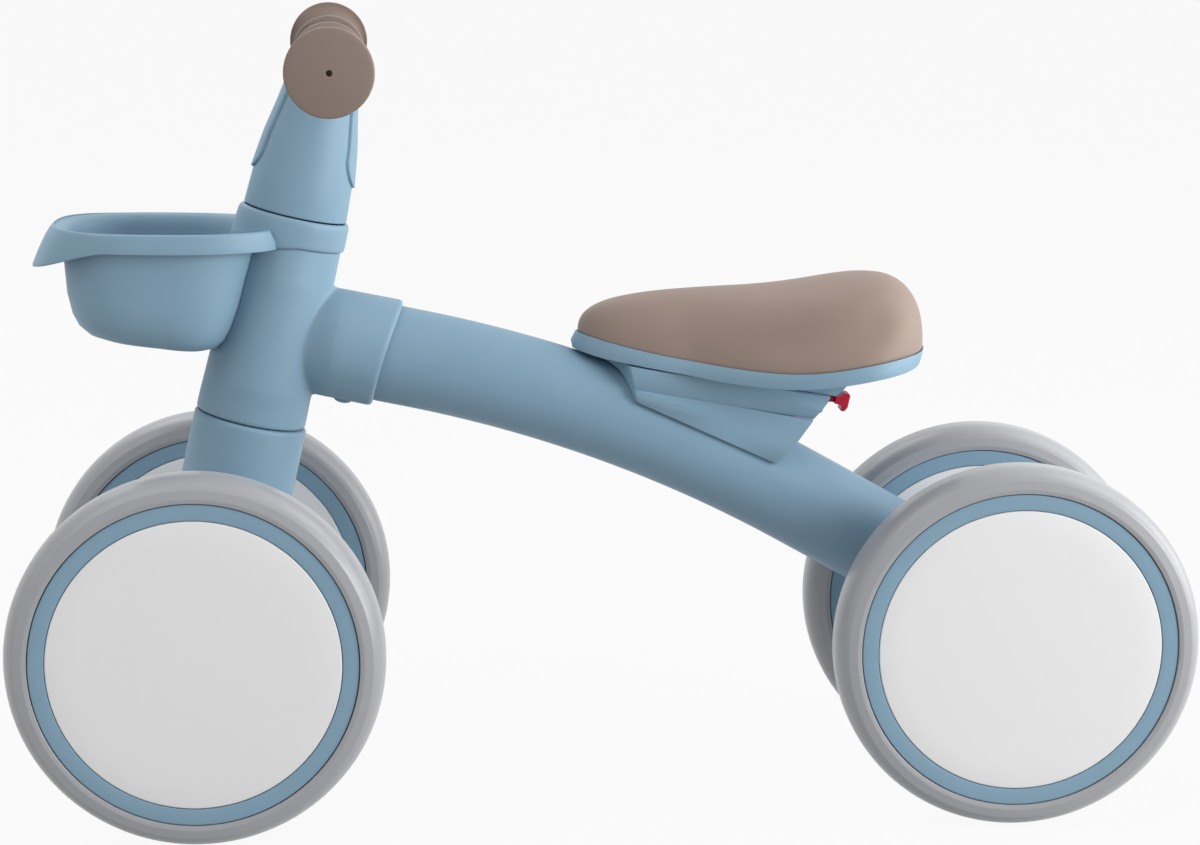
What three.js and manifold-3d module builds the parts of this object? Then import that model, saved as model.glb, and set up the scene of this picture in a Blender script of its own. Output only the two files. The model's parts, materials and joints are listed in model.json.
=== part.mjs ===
// A toddler's four-wheeled balance bike, as the pieces it comes apart into.
// Millimetres, +Z up. The bike drives towards -Y and +X is the rider's left. The origin lies on the
// ground under the middle of the wheelbase.
import * as THREE from "three";
import { mergeVertices } from "three/addons/utils/BufferGeometryUtils.js";
import Module from "manifold-3d";

const wasm = await Module();
wasm.setup();

// ---------- driving dimensions ----------
const degree = Math.PI / 180;

// Fits: between two fixed pieces, between two that slide or turn, and the gap shown at the head's ends
const seatGap = 0.3;
const runningGap = 0.4;
const headGap = 1.4;

// Wheels
const wheelbase = 398;
const frontTrack = 168;
const rearTrack = 114;
const tyreRadius = 90;
const tyreThickness = 12;
const tyreHalfWidth = 15.5;
const tyreTreadHalf = 3.5;
const tyreShoulder = 6.5; // how far the rounded shoulder comes in from the tread
const rimHalfWidth = 14.4;
const rimFace = 8; // width of the rim ring that shows round the cover
const rimLedge = 4; // width of the ledge that a cover sits on
const rimRib = { height: 2.3, halfWidth: 4 }; // keeps the tyre from walking sideways
const webThickness = 4;
const coverThickness = 2;
const axleRadius = 4;
const bushWall = 2.4;
const hubWall = 6;
const hubOutboard = 6; // how far the hub reaches outboard of the wheel's middle
const nut = { wall: 3, height: 5 };

// Fork and steerer; heights up the leaning steering axis are counted from the front axle
const headAngle = 12.2 * degree;
const forkHeight = 103;
const fork = { radius: 28, footRadius: 24, taper: 74, edge: 1.5 };
const crossbarRadius = 15;
const steererRadius = 12;
const steererWall = 2;
const steererFoot = 40; // height of the socket's floor in the fork

// Head tube, its bushes and the sleeve for the frame tube
const headHeight = 102;
const headBottomRadius = 27;
const headTopRadius = 25.7;
const headBore = 20;
const headEdge = 1.5;
const bush = { height: 20, flange: 2.5, flangeHeight: 3 };
const sleeveRise = 44.3; // from the head tube's foot up to the sleeve's axis
const sleeveDroop = 11 * degree;
const sleeveLength = 58.7;
const sleeveWall = 2.6;
const sleeveDepth = 27.7; // how far the tube goes in

// Stem, handlebar and grips
const stemHeight = 79; // from the stem's foot to the handlebar's axis
const stemTurn = 1.85 * degree; // the stem is clamped this far round from square, its left end rearward
const stemRadius = 24.3;
const stemWaist = 18; // height of the stem's straight foot
const stemNeck = 15.2; // radius under the handlebar
const stemNeckDrop = 15.7; // the neck is reached this far below the handlebar's axis
const handlebarRadius = 11;
const handlebarWall = 1.5;
const clampWall = 4.2;
const clampHalf = 29.6;
const strap = { half: 12, thickness: 1.2, tip: 18 }; // the clamp's two straps down the stem
const stemBolt = { rise: 34, radius: 2.5, head: 4.5, headHeight: 3.5, half: 19 };
const clampScrew = { radius: 2, head: 4.2, headHeight: 3, bite: 7 };
const steererFree = 9; // the steerer tube ends this far under the clamp
const gripEnd = 131.5; // the grip's end face from the middle of the bike
const grip = { disc: 20.5, discWidth: 9, wall: 1.9, belly: 1.6, cap: 9.2, edge: 1 };
const gripFlange = { height: 2, width: 3.5 };
const vent = { radius: 1.3, depth: 4.2 };

// Frame tube
const tubeRadius = 24.3;
const tubeWall = 2;
const tubeLead = 14; // straight of the tube behind the sleeve
const tubeBendRadius = 670;
const tubeAboveAxle = 5.6;
const snap = { fromEnd: 17.7, radius: 4.7, proud: 1.5, flange: 7, flangeHeight: 1.5 };
const leaf = { length: 24, half: 4, thickness: 0.8, reachGap: 3.4 };

// Rear axle carrier, plugged into the tube's end
const carrierNeck = 28; // from the axle forward to the tube's end
const plugLength = 30;
const carrierWall = 4;
const carrierScrew = { radius: 2, head: 4, headHeight: 2, bite: 5, fromEnd: 15 };

// Seat bracket, which stands on the tube under a track that droops to the rear
const trackSetback = 82.2; // from the start of the tube's bend back to the track's front end
const trackDroop = 8.7 * degree;
const trackLength = 125.5;
const trackThickness = 4;
const trackSlot = 8; // half width of the slot
const slotStart = 46;
const bracketMargin = 0.7; // the bracket is wider than the tube by this on each side
const bracketWall = 3;
const bracketNose = 27; // length of the rounded nose
const skirtHeight = 12.5; // the skirt ends this far above the tube's centre line
const skirtSetin = 27.3; // the skirt's rear corner lies this far ahead of the track's end
const bracketScrew = { radius: 1.5, head: 3.2, headHeight: 2, length: 13, places: [24, 37] };

// Seat
const seatOverhang = 1.5; // the cushion starts this far ahead of the track
const seatLength = 173.7;
const seatNoseHalf = 28;
const seatFlare = 58;
const seatFlareFrom = 0.3; // share of the length where the seat starts to widen
const seamDip = 3.9; // lowest place of the seam below the track's front end
const seamDipAt = 0.56; // share of the length
const seamFrontRise = 14.5;
const seamRearRise = 7.8;
const crownFront = 28.2;
const crownRise = { height: 3, from: 80, to: 130 }; // an extra rise between these distances behind the front
const crownGrowth = 0.128; // the crown grows by this for each millimetre rearward
const crownPower = 2.5;
const panDepth = 7.5;
const panLip = 1.5;
const keel = { half: 20, front: 18, overhang: 5.5, frontHeight: 3.5, backHeight: 13, rearRun: 8 };
const tongue = { start: 52, fromEnd: 29.5 }; // from the track's front end, and from its rear end
const retainer = { half: 13, thickness: 2.5, inset: 2 };
const retainerScrew = { radius: 1.5, head: 3, headHeight: 2, inset: 5.5, bite: 6 };

// Release lever, its pin and its spring
const leverPivot = { fromEnd: 15.5, below: 5 };
const lever = { hub: 4, tailHalf: 5.5, reach: 27.2 };
const lug = { wall: 3, half: 5, drop: 4 };
const leverPinRadius = 1.5;
const coil = { width: 1.8, wall: 1.1 };

// Basket
const basketReach = 63.4; // its middle from the steering axis, at the rim
const rimBelowHead = 4.7;
const basketHalfLength = 48;
const basketHalfWidth = 47;
const basketDepth = 58;
const basketSlope = 0.07; // the floor falls this much for each millimetre rearward
const basketSquare = 2.8; // superellipse power of the outline
const basketWall = 2.8;
const basketRake = 0.2; // the rear wall leans with the head tube
const rimBand = { width: 5.5, height: 9, thickness: 2.6, edge: 0.8 };
const lip = { drop: 11.5, flare: 8, from: 0.55 };
const collar = { height: 13.5, step: 1.1, wall: 2.4, edge: 1.5 };
const basketScrew = { belowHead: 34.4, radius: 1.8, head: 4, headHeight: 2.2, bite: 6 };

// Facets
const wheelSides = 24;
const postSides = 24;
const tubeSides = 20;
const smallSides = 12;
const tubeSteps = 12;
const past = 5; // cutters run this far past what they cut

// ---------- sizes that follow ----------
const rimRadius = tyreRadius - tyreThickness;
const coverRadius = rimRadius - rimFace;
const bushBore = axleRadius + seatGap;
const bushRadius = bushBore + bushWall;
const hubRadius = bushRadius + seatGap + hubWall;
const hubEnd = { in: -tyreHalfWidth, out: hubOutboard };

const headBottom = forkHeight + headGap;
const headTop = headBottom + headHeight;
const stemBottom = headTop + headGap;
const handlebarHeight = stemBottom + stemHeight;
const clampRadius = handlebarRadius + seatGap + clampWall;
const steererTop = handlebarHeight - clampRadius - seatGap - steererFree;
const collarBottom = headTop - collar.height;
const collarSeat = headTopRadius - collar.step; // radius of the head tube inside the collar
const collarRadius = collarSeat + seatGap + collar.wall;
const sleeveRadius = tubeRadius + seatGap + sleeveWall;
const tubeBore = tubeRadius - tubeWall;
const tubeEnd = carrierNeck + seatGap;
const bracketHalf = tubeRadius + bracketMargin;
const keelBack = trackLength + keel.overhang;
const tongueBack = trackLength - tongue.fromEnd;
const pivotAlong = trackLength - leverPivot.fromEnd;
const tongueHalf = trackSlot - runningGap;
const tongueBottom = -trackThickness - seatGap / 3;
const leverHalf = tongueHalf - lug.wall - runningGap;

const frontAxleY = -wheelbase / 2;
const rearAxleY = wheelbase / 2;

// ---------- geometry tools ----------
const axisX = new THREE.Vector3(1, 0, 0);
const axisY = new THREE.Vector3(0, 1, 0);
const axisZ = new THREE.Vector3(0, 0, 1);

const moved = (x, y, z) => new THREE.Matrix4().makeTranslation(x, y, z);
const both = (first, ...others) => others.reduce((product, one) => product.multiply(one), first.clone());
// These lay a piece made along Z along +X or +Y instead, with its origin at a place
const toX = new THREE.Matrix4().makeRotationY(Math.PI / 2);
const toY = new THREE.Matrix4().makeRotationX(-Math.PI / 2);
const alongX = (x = 0, y = 0, z = 0) => both(moved(x, y, z), toX);
const alongY = (x = 0, y = 0, z = 0) => both(moved(x, y, z), toY);
const swapYZ = new THREE.Matrix4().makeBasis(axisX, axisZ, axisY);

// A closed geometry as a manifold solid that faces outwards
function solid(geometry, matrix) {
  const bare = geometry.clone();
  for (const name of Object.keys(bare.attributes)) {
    if (name !== "position") bare.deleteAttribute(name);
  }
  if (matrix) bare.applyMatrix4(matrix);
  const merged = mergeVertices(bare, 1e-3);
  const corners = [];
  for (let i = 0; i < merged.index.count; i += 3) {
    const [a, b, c] = [0, 1, 2].map((k) => merged.index.getX(i + k));
    if (a !== b && b !== c && c !== a) corners.push([a, b, c]);
  }
  const make = (triangles) =>
    new wasm.Manifold(
      new wasm.Mesh({
        numProp: 3,
        vertProperties: merged.attributes.position.array,
        triVerts: new Uint32Array(triangles.flat()),
      }),
    );
  const made = make(corners);
  return made.volume() < 0 ? make(corners.map(([a, b, c]) => [a, c, b])) : made;
}

function geometryOf(made) {
  const mesh = made.getMesh();
  const geometry = new THREE.BufferGeometry();
  geometry.setAttribute("position", new THREE.BufferAttribute(mesh.vertProperties, 3));
  geometry.setIndex(new THREE.BufferAttribute(mesh.triVerts, 1));
  geometry.computeVertexNormals();
  return geometry;
}

const joined = (first, ...others) => others.reduce((whole, one) => whole.add(one), first);
const cutBy = (first, ...others) => others.reduce((whole, one) => whole.subtract(one), first);

// A many-sided round piece keeps its radius at its flats where corner is what this gives
const flatsOf = (sides) => 1 / Math.cos(Math.PI / sides);

// A profile of [height, radius] points turned about Z, which starts and ends on the axis or is closed here
function turned(profile, matrix, { sides = postSides, corner = 1 } = {}) {
  const points = profile.map(([height, radius]) => new THREE.Vector2(radius * corner, height));
  const onAxis = points[0].x === 0 && points.at(-1).x === 0;
  if (!onAxis) points.push(points[0].clone());
  const geometry = new THREE.LatheGeometry(points, sides, Math.PI / sides);
  geometry.rotateX(Math.PI / 2);
  return solid(geometry, matrix);
}

const rod = (radius, from, to, matrix, options) =>
  turned([[from, 0], [from, radius], [to, radius], [to, 0]], matrix, options);
const ring = (inner, outer, from, to, matrix, options) =>
  turned([[from, inner], [from, outer], [to, outer], [to, inner]], matrix, options);
const small = { sides: smallSides };
const round = { sides: tubeSides };
const hexagon = { sides: 6, corner: flatsOf(6) };

// A screw or bolt along Z: a plain shank from its tip to under its head
const screw = (sizes, tip, under, matrix) => {
  const top = under + Math.sign(under - tip) * sizes.headHeight;
  return turned(
    [
      [tip, 0],
      [tip, sizes.radius],
      [under, sizes.radius],
      [under, sizes.head],
      [top, sizes.head],
      [top, 0],
    ],
    matrix,
    small,
  );
};
const drill = (sizes, from, to, matrix) => rod(sizes.radius + seatGap, from, to, matrix, small);
const sink = (sizes, from, to, matrix) => rod(sizes.head + 2 * seatGap, from, to, matrix, small);

// An outline of [x, y] points given a height along Z
function prism(outline, low, high, matrix) {
  const shape = new THREE.Shape(outline.map(([x, y]) => new THREE.Vector2(x, y)));
  const geometry = new THREE.ExtrudeGeometry(shape, { depth: high - low, bevelEnabled: false });
  geometry.translate(0, 0, low);
  return solid(geometry, matrix);
}

// An outline of [y, z] points given a width across X, half to each side
const acrossX = new THREE.Matrix4().makeBasis(axisY, axisZ, axisX);
const slab = (outline, half, matrix = moved(0, 0, 0)) => prism(outline, -half, half, both(matrix, acrossX));

function block(x, y, z, matrix) {
  const geometry = new THREE.BoxGeometry(x[1] - x[0], y[1] - y[0], z[1] - z[0]);
  geometry.translate((x[0] + x[1]) / 2, (y[0] + y[1]) / 2, (z[0] + z[1]) / 2);
  return solid(geometry, matrix);
}

// ---------- finishes ----------
const finish = (color, roughness, metalness) =>
  new THREE.MeshStandardMaterial({ color, roughness, metalness });
const finishes = {
  bluePlastic: () => finish(0x86a5b9, 0.55, 0),
  bluePaint: () => finish(0x7f9fb4, 0.45, 0.1),
  whitePlastic: () => finish(0xe2e2e1, 0.5, 0),
  greyFoam: () => finish(0xa6a8ac, 0.75, 0),
  taupeRubber: () => finish(0x8a7a70, 0.7, 0),
  taupeLeather: () => finish(0x97857a, 0.5, 0),
  redPlastic: () => finish(0xb3123a, 0.4, 0),
  nylon: () => finish(0x2c2e31, 0.5, 0),
  steel: () => finish(0xb4b6b8, 0.35, 1),
};

const bike = new THREE.Group();
function piece(parent, name, finishName, made) {
  const mesh = new THREE.Mesh(geometryOf(made), finishes[finishName]());
  mesh.name = name;
  parent.add(mesh);
}

// ---------- frames of reference ----------
function frame(parent, place, turn) {
  const group = new THREE.Group();
  group.position.set(...place);
  group.rotation.x = turn;
  group.updateMatrix();
  parent.add(group);
  return group;
}
// A frame with Z rearward along a slope below the horizontal, and Y down
const sloped = ([y, z], droop) => frame(bike, [0, y, z], -Math.PI / 2 - droop);

// The head's frame: origin on the front axle, Z up the steering axis
const head = frame(bike, [0, frontAxleY, tyreRadius], -headAngle);
const intoHead = head.matrix.clone().invert();
// The stem's frame: the head's, turned about the steering axis
const stemFrame = new THREE.Group();
stemFrame.rotation.z = stemTurn;
head.add(stemFrame);
const upHead = (height) => [
  frontAxleY + height * Math.sin(headAngle),
  tyreRadius + height * Math.cos(headAngle),
];

// The frame tube's centre line, in [y, z]: straight out of the sleeve, one bend, straight to the rear
const slide = ([y, z], droop, distance) => [
  y + distance * Math.cos(droop),
  z - distance * Math.sin(droop),
];
const sleeveRoot = upHead(headBottom + sleeveRise);
const bendStart = slide(sleeveRoot, sleeveDroop, sleeveLength + tubeLead);
const onBend = (angle) => [
  bendStart[0] + tubeBendRadius * (Math.sin(sleeveDroop + angle) - Math.sin(sleeveDroop)),
  bendStart[1] + tubeBendRadius * (Math.cos(sleeveDroop + angle) - Math.cos(sleeveDroop)),
];
// How far the straight behind a bend of this angle passes above the rear axle
function passesAbove(angle) {
  const [y, z] = onBend(angle);
  const droop = sleeveDroop + angle;
  return (z - tyreRadius) * Math.cos(droop) - (rearAxleY - y) * Math.sin(droop);
}
function bendAngleFor(height) {
  let [low, high] = [0, Math.PI / 3];
  for (let i = 0; i < 50; i++) {
    const middle = (low + high) / 2;
    if (passesAbove(middle) > height) low = middle;
    else high = middle;
  }
  return low;
}
const bendAngle = bendAngleFor(tubeAboveAxle);
const rearDroop = sleeveDroop + bendAngle;
// The point of the tube's line that is nearest to the rear axle
const rearFoot = [
  rearAxleY + tubeAboveAxle * Math.sin(rearDroop),
  tyreRadius + tubeAboveAxle * Math.cos(rearDroop),
];
// The droop and height of the tube's line at a Y on its bend or on the straight behind it
function tubeAt(y) {
  const [endY, endZ] = onBend(bendAngle);
  if (y > endY) return { droop: rearDroop, z: endZ - (y - endY) * Math.tan(rearDroop) };
  const droop = Math.asin(Math.sin(sleeveDroop) + (y - bendStart[0]) / tubeBendRadius);
  return { droop, z: onBend(droop - sleeveDroop)[1] };
}

class TubeBend extends THREE.Curve {
  getPoint(t) {
    const [y, z] = onBend(t * bendAngle);
    return new THREE.Vector3(0, y, z);
  }
}
// A round bar along the tube's line, from a distance past the sleeve's root to one short of the axle
function sweptTube(radius, start, end) {
  const point = ([y, z]) => new THREE.Vector3(0, y, z);
  const line = new THREE.CurvePath();
  line.add(new THREE.LineCurve3(point(slide(sleeveRoot, sleeveDroop, start)), point(bendStart)));
  line.add(new TubeBend());
  line.add(new THREE.LineCurve3(point(onBend(bendAngle)), point(slide(rearFoot, rearDroop, -end))));
  const section = new THREE.Shape();
  for (let i = 0; i < tubeSides; i++) {
    const angle = ((i + 0.5) * 2 * Math.PI) / tubeSides;
    section[i ? "lineTo" : "moveTo"](radius * Math.cos(angle), radius * Math.sin(angle));
  }
  const options = { steps: tubeSteps, bevelEnabled: false, extrudePath: line };
  return solid(new THREE.ExtrudeGeometry(section, options));
}

// The sleeve's frame, the rear carrier's frame, and the track's: Y rearward along it and Z out of it
const sleeve = sloped(sleeveRoot, sleeveDroop);
const carrier = sloped(rearFoot, rearDroop);
const trackStart = bendStart[0] + trackSetback;
const trackRoot = tubeAt(trackStart);
const trackHeight = trackRoot.z + tubeRadius / Math.cos(trackRoot.droop);
const track = frame(bike, [0, trackStart, trackHeight], -trackDroop);

// ---------- wheels and axles ----------
// Profiles of a wheel's rings: [distance outboard of the wheel's middle, radius]
function tyreProfile() {
  const shoulder = [0, 1 / 3, 2 / 3, 1].map((share) => {
    const angle = (share * Math.PI) / 2;
    return [
      tyreTreadHalf + (tyreHalfWidth - tyreTreadHalf) * Math.cos(angle),
      tyreRadius - tyreShoulder + tyreShoulder * Math.sin(angle),
    ];
  });
  const outboard = [
    [rimRib.halfWidth + seatGap, rimRadius + rimRib.height],
    [rimRib.halfWidth + seatGap, rimRadius],
    [tyreHalfWidth, rimRadius],
    ...shoulder,
  ];
  return [...outboard, ...outboard.map(([across, radius]) => [-across, radius]).reverse()];
}
function rimProfile() {
  const outer = rimRadius - seatGap;
  const ledge = rimHalfWidth - coverThickness - seatGap;
  const recess = coverRadius + seatGap;
  const outboard = [
    [rimRib.halfWidth, outer + rimRib.height],
    [rimRib.halfWidth, outer],
    [rimHalfWidth, outer],
    [rimHalfWidth, recess],
    [ledge, recess],
    [ledge, recess - rimLedge],
    [webThickness / 2, recess - rimLedge],
    [webThickness / 2, 0],
  ];
  return [...outboard.map(([across, radius]) => [-across, radius]).reverse(), ...outboard];
}

const wheelRing = { sides: wheelSides, corner: flatsOf(wheelSides) };
function addWheel(parent, across, label) {
  const wheel = new THREE.Group();
  wheel.position.x = across;
  if (across < 0) wheel.rotation.z = Math.PI;
  parent.add(wheel);
  const line = alongX();
  const [inside, outside] = [rimHalfWidth - coverThickness, rimHalfWidth];

  piece(wheel, label + "_tyre", "greyFoam", turned(tyreProfile(), line, wheelRing));
  const hub = rod(hubRadius, hubEnd.in, hubEnd.out, line, round);
  const bore = rod(bushRadius + seatGap, hubEnd.in - past, hubEnd.out + past, line, small);
  const rim = cutBy(joined(turned(rimProfile(), line, wheelRing), hub), bore);
  piece(wheel, label + "_rim", "bluePlastic", rim);
  const outerCover = rod(coverRadius, inside, outside, line, wheelRing);
  piece(wheel, label + "_outer_cover", "whitePlastic", outerCover);
  const innerCover = ring(hubRadius + seatGap, coverRadius, -outside, -inside, line, wheelRing);
  piece(wheel, label + "_inner_cover", "whitePlastic", innerCover);
  const bushing = ring(bushBore, bushRadius, hubEnd.in - seatGap, hubEnd.out + seatGap, line, small);
  piece(wheel, label + "_bush", "nylon", bushing);
}

// An axle with its two wheels, and a lock nut at each end, which the outer covers hide
function addAxle(parent, label, trackWidth) {
  const line = alongX();
  const nutStart = trackWidth / 2 + hubEnd.out + 2 * seatGap;
  const nutEnd = nutStart + nut.height;
  piece(parent, label + "_axle", "steel", rod(axleRadius, -nutEnd, nutEnd, line, small));
  for (const [side, outboard] of [["left", 1], ["right", -1]]) {
    addWheel(parent, (outboard * trackWidth) / 2, `${label}_${side}`);
    const sizes = [axleRadius + seatGap, axleRadius + seatGap + nut.wall];
    const lockNut = ring(...sizes, outboard * nutStart, outboard * nutEnd, line, hexagon);
    piece(parent, `${label}_${side}_nut`, "steel", lockNut);
  }
}
// The bar that an axle runs through, and its bore
const barrel = (trackWidth, line) => {
  const half = trackWidth / 2 - tyreHalfWidth - 2 * seatGap;
  return rod(crossbarRadius, -half, half, line, round);
};
const axleHole = (trackWidth, line) =>
  rod(axleRadius + seatGap, -trackWidth / 2, trackWidth / 2, line, small);

// The front wheels aren't tilted with the leaning head, so they stand in a frame that undoes the lean
addAxle(frame(head, [0, 0, 0], headAngle), "front", frontTrack);
addAxle(frame(bike, [0, rearAxleY, tyreRadius], 0), "rear", rearTrack);

// ---------- fork and steerer ----------
const quarter = [0.2, 0.4, 0.6, 0.8].map((share) => (share * Math.PI) / 2);
function addFork() {
  const dome = quarter.map((angle) => [
    -fork.footRadius * Math.cos(angle),
    fork.footRadius * Math.sin(angle),
  ]);
  const taper = [0, 1 / 3, 2 / 3, 1].map((share) => [
    share * fork.taper,
    fork.footRadius + (fork.radius - fork.footRadius) * Math.sin((share * Math.PI) / 2),
  ]);
  const leg = turned([
    [-fork.footRadius, 0],
    ...dome,
    ...taper,
    [forkHeight - fork.edge, fork.radius],
    [forkHeight, fork.radius - fork.edge],
    [forkHeight, 0],
  ]);
  const socket = rod(steererRadius + seatGap, steererFoot, forkHeight + past, undefined, round);
  const body = joined(leg, barrel(frontTrack, alongX()));
  piece(head, "fork", "bluePlastic", cutBy(body, socket, axleHole(frontTrack, alongX())));
}
addFork();

const boltLine = alongY(0, 0, stemBottom + stemBolt.rise);
function addSteerer() {
  const foot = steererFoot + seatGap;
  const tube = ring(steererRadius - steererWall, steererRadius, foot, steererTop, undefined, round);
  const turn = new THREE.Matrix4().makeRotationZ(stemTurn);
  const hole = drill(stemBolt, -stemRadius, stemRadius, both(turn, boltLine));
  piece(head, "steerer_tube", "steel", cutBy(tube, hole));
}
addSteerer();

// Flanged bushes in the two ends of the head tube; each flange takes the end load
function addBush(name, end, inward) {
  const face = end - inward * (headGap - seatGap);
  const at = (height) => face + inward * height;
  const [bore, body] = [steererRadius + runningGap, headBore - seatGap];
  const made = turned(
    [
      [at(0), bore],
      [at(0), body + bush.flange],
      [at(bush.flangeHeight), body + bush.flange],
      [at(bush.flangeHeight), body],
      [at(bush.height), body],
      [at(bush.height), bore],
    ],
    undefined,
    round,
  );
  piece(head, name, "nylon", made);
}
addBush("lower_bush", headBottom, 1);
addBush("upper_bush", headTop, -1);

// ---------- head tube with its sleeve ----------
const headRadiusAt = (height) =>
  THREE.MathUtils.lerp(headBottomRadius, headTopRadius, (height - headBottom) / headHeight);
function headPost(clearance, matrix) {
  return turned(
    [
      [headBottom - clearance, 0],
      [headBottom - clearance, headBottomRadius - headEdge + clearance],
      [headBottom + headEdge, headBottomRadius + clearance],
      [collarBottom + clearance, headRadiusAt(collarBottom) + clearance],
      [collarBottom + clearance, collarSeat + clearance],
      [headTop + clearance, collarSeat + clearance],
      [headTop + clearance, 0],
    ],
    matrix,
  );
}
const snapLine = alongY(0, 0, sleeveLength - snap.fromEnd);
const snapHole = (matrix) => drill(snap, tubeRadius / 2, sleeveRadius + past, both(matrix, snapLine));
const basketScrewLine = alongY(0, 0, headTop - basketScrew.belowHead);
function addHeadTube() {
  const intoSleeve = both(intoHead, sleeve.matrix);
  const arm = turned(
    [
      [0, 0],
      [0, sleeveRadius - 1],
      [sleeveLength - headEdge, sleeveRadius],
      [sleeveLength, sleeveRadius - headEdge / 2],
      [sleeveLength, 0],
    ],
    intoSleeve,
  );
  const floor = sleeveLength - sleeveDepth - seatGap;
  const mouth = rod(tubeRadius + 1.5 * seatGap, floor, sleeveLength + past, intoSleeve, round);
  const bore = rod(headBore, headBottom - past, headTop + past, undefined, round);
  const flange = headBore + bush.flange;
  const depth = bush.flangeHeight - headGap + 2 * seatGap;
  const lowSeat = rod(flange, headBottom - past, headBottom + depth, undefined, round);
  const highSeat = rod(flange, headTop - depth, headTop + past, undefined, round);
  const screwHole = drill(basketScrew, -headBottomRadius - past, -headBore / 2, basketScrewLine);
  const body = joined(headPost(0), arm);
  const made = cutBy(body, mouth, bore, lowSeat, highSeat, snapHole(intoSleeve), screwHole);
  piece(head, "head_tube", "bluePlastic", made);
}
addHeadTube();

// ---------- frame tube ----------
const carrierScrewLine = alongY(0, 0, -tubeEnd - carrierScrew.fromEnd);
const onTrack = (along) => both(track.matrix, moved(0, along, 0));
const bracketScrewHole = (along) => drill(bracketScrew, -bracketScrew.length * 2, past, onTrack(along));
function addFrameTube() {
  const start = sleeveLength - sleeveDepth;
  const hollow = sweptTube(tubeBore, start - past, tubeEnd - past);
  const screwLine = both(carrier.matrix, carrierScrewLine);
  const screwHole = drill(carrierScrew, tubeBore / 2, tubeRadius + past, screwLine);
  const holes = [snapHole(sleeve.matrix), screwHole, ...bracketScrew.places.map(bracketScrewHole)];
  piece(bike, "frame_tube", "bluePaint", cutBy(sweptTube(tubeRadius, start, tubeEnd), hollow, ...holes));
}
addFrameTube();

// ---------- snap button, which locks the tube in the sleeve from below ----------
function addSnapButton() {
  const inside = Math.sqrt(tubeBore ** 2 - snap.flange ** 2) - runningGap;
  const back = inside - snap.flangeHeight;
  const tip = sleeveRadius + snap.proud;
  const stud = turned(
    [
      [back, 0],
      [back, snap.flange],
      [inside, snap.flange],
      [inside, snap.radius],
      [tip - snap.proud, snap.radius],
      [tip - snap.proud / 4, snap.radius * 0.7],
      [tip, 0],
    ],
    snapLine,
    small,
  );
  piece(sleeve, "snap_button", "bluePlastic", stud);

  // The spring is a V: one leg under the button, the other reaching back towards the tube's far wall
  const near = back - seatGap;
  const far = -(tubeBore - leaf.reachGap);
  const { length, thickness } = leaf;
  const outline = [
    [-snap.flange, near],
    [length, near],
    [length + thickness, near - thickness],
    [-snap.flange, far],
    [-snap.flange - thickness, far + thickness],
    [length - thickness, near - thickness],
    [-snap.flange, near - thickness],
  ];
  const across = both(moved(0, 0, sleeveLength - snap.fromEnd), swapYZ);
  piece(sleeve, "button_spring", "steel", slab(outline, leaf.half, across));
}
addSnapButton();

// ---------- rear axle carrier ----------
function addCarrier() {
  const plug = tubeBore - seatGap;
  const plugEnd = -tubeEnd - plugLength;
  const dome = quarter.map((angle) => [tubeRadius * Math.sin(angle), tubeRadius * Math.cos(angle)]);
  const neck = turned(
    [
      [plugEnd, 0],
      [plugEnd, plug],
      [-carrierNeck, plug],
      [-carrierNeck, tubeRadius],
      [0, tubeRadius],
      ...dome,
      [tubeRadius, 0],
    ],
    undefined,
    round,
  );
  const axleLine = alongX(0, tubeAboveAxle, 0);
  const hollow = rod(plug - carrierWall, plugEnd - past, -carrierNeck, undefined, round);
  const screwHole = drill(carrierScrew, plug / 2, tubeRadius, carrierScrewLine);
  const body = joined(neck, barrel(rearTrack, axleLine));
  const housing = cutBy(body, hollow, axleHole(rearTrack, axleLine), screwHole);
  piece(carrier, "rear_axle_carrier", "bluePlastic", housing);
  const tip = tubeBore - carrierScrew.bite;
  const fixing = screw(carrierScrew, tip, tubeRadius + seatGap, carrierScrewLine);
  piece(carrier, "carrier_screw", "steel", fixing);
}
addCarrier();

// ---------- stem, clamp, handlebar and grips ----------
const stemTaper = stemBottom + stemWaist;
const stemNeckHeight = handlebarHeight - stemNeckDrop;
const barLine = alongX(0, 0, handlebarHeight);
const clampScrewLine = moved(0, 0, handlebarHeight);
// The stem's outline, grown by an offset: a straight foot, a taper, and a neck under the handlebar
const stemBody = (offset, top = handlebarHeight) =>
  turned([
    [stemBottom, 0],
    [stemBottom, stemRadius + offset],
    [stemTaper, stemRadius + offset],
    [stemNeckHeight, stemNeck + offset],
    [top, stemNeck + offset - 1],
    [top, 0],
  ]);
function addStem() {
  const cradle = rod(clampRadius + 1.5 * seatGap, -stemRadius * 2, stemRadius * 2, barLine, round);
  const bore = rod(steererRadius + seatGap, stemBottom - past, steererTop + seatGap, undefined, round);
  const floor = stemBolt.half - stemBolt.headHeight - seatGap;
  const nutRoom = { head: stemBolt.head * flatsOf(6) };
  const sinks = [-1, 1].map((side) => sink(nutRoom, side * floor, side * (stemRadius + past), boltLine));
  const holes = [
    drill(stemBolt, -stemRadius - past, stemRadius + past, boltLine),
    drill(clampScrew, -clampRadius - clampScrew.bite - seatGap, 0, clampScrewLine),
  ];
  const body = stemBody(0, handlebarHeight - clampRadius / 2);
  piece(stemFrame, "stem", "bluePlastic", cutBy(body, cradle, bore, ...sinks, ...holes));

  const under = stemBolt.half - stemBolt.headHeight;
  piece(stemFrame, "stem_bolt", "steel", screw(stemBolt, stemBolt.half, -under, boltLine));
  const thread = stemBolt.radius + seatGap;
  const nutRing = ring(thread, stemBolt.head, under, stemBolt.half, boltLine, hexagon);
  piece(stemFrame, "stem_nut", "steel", nutRing);
}
addStem();

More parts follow.
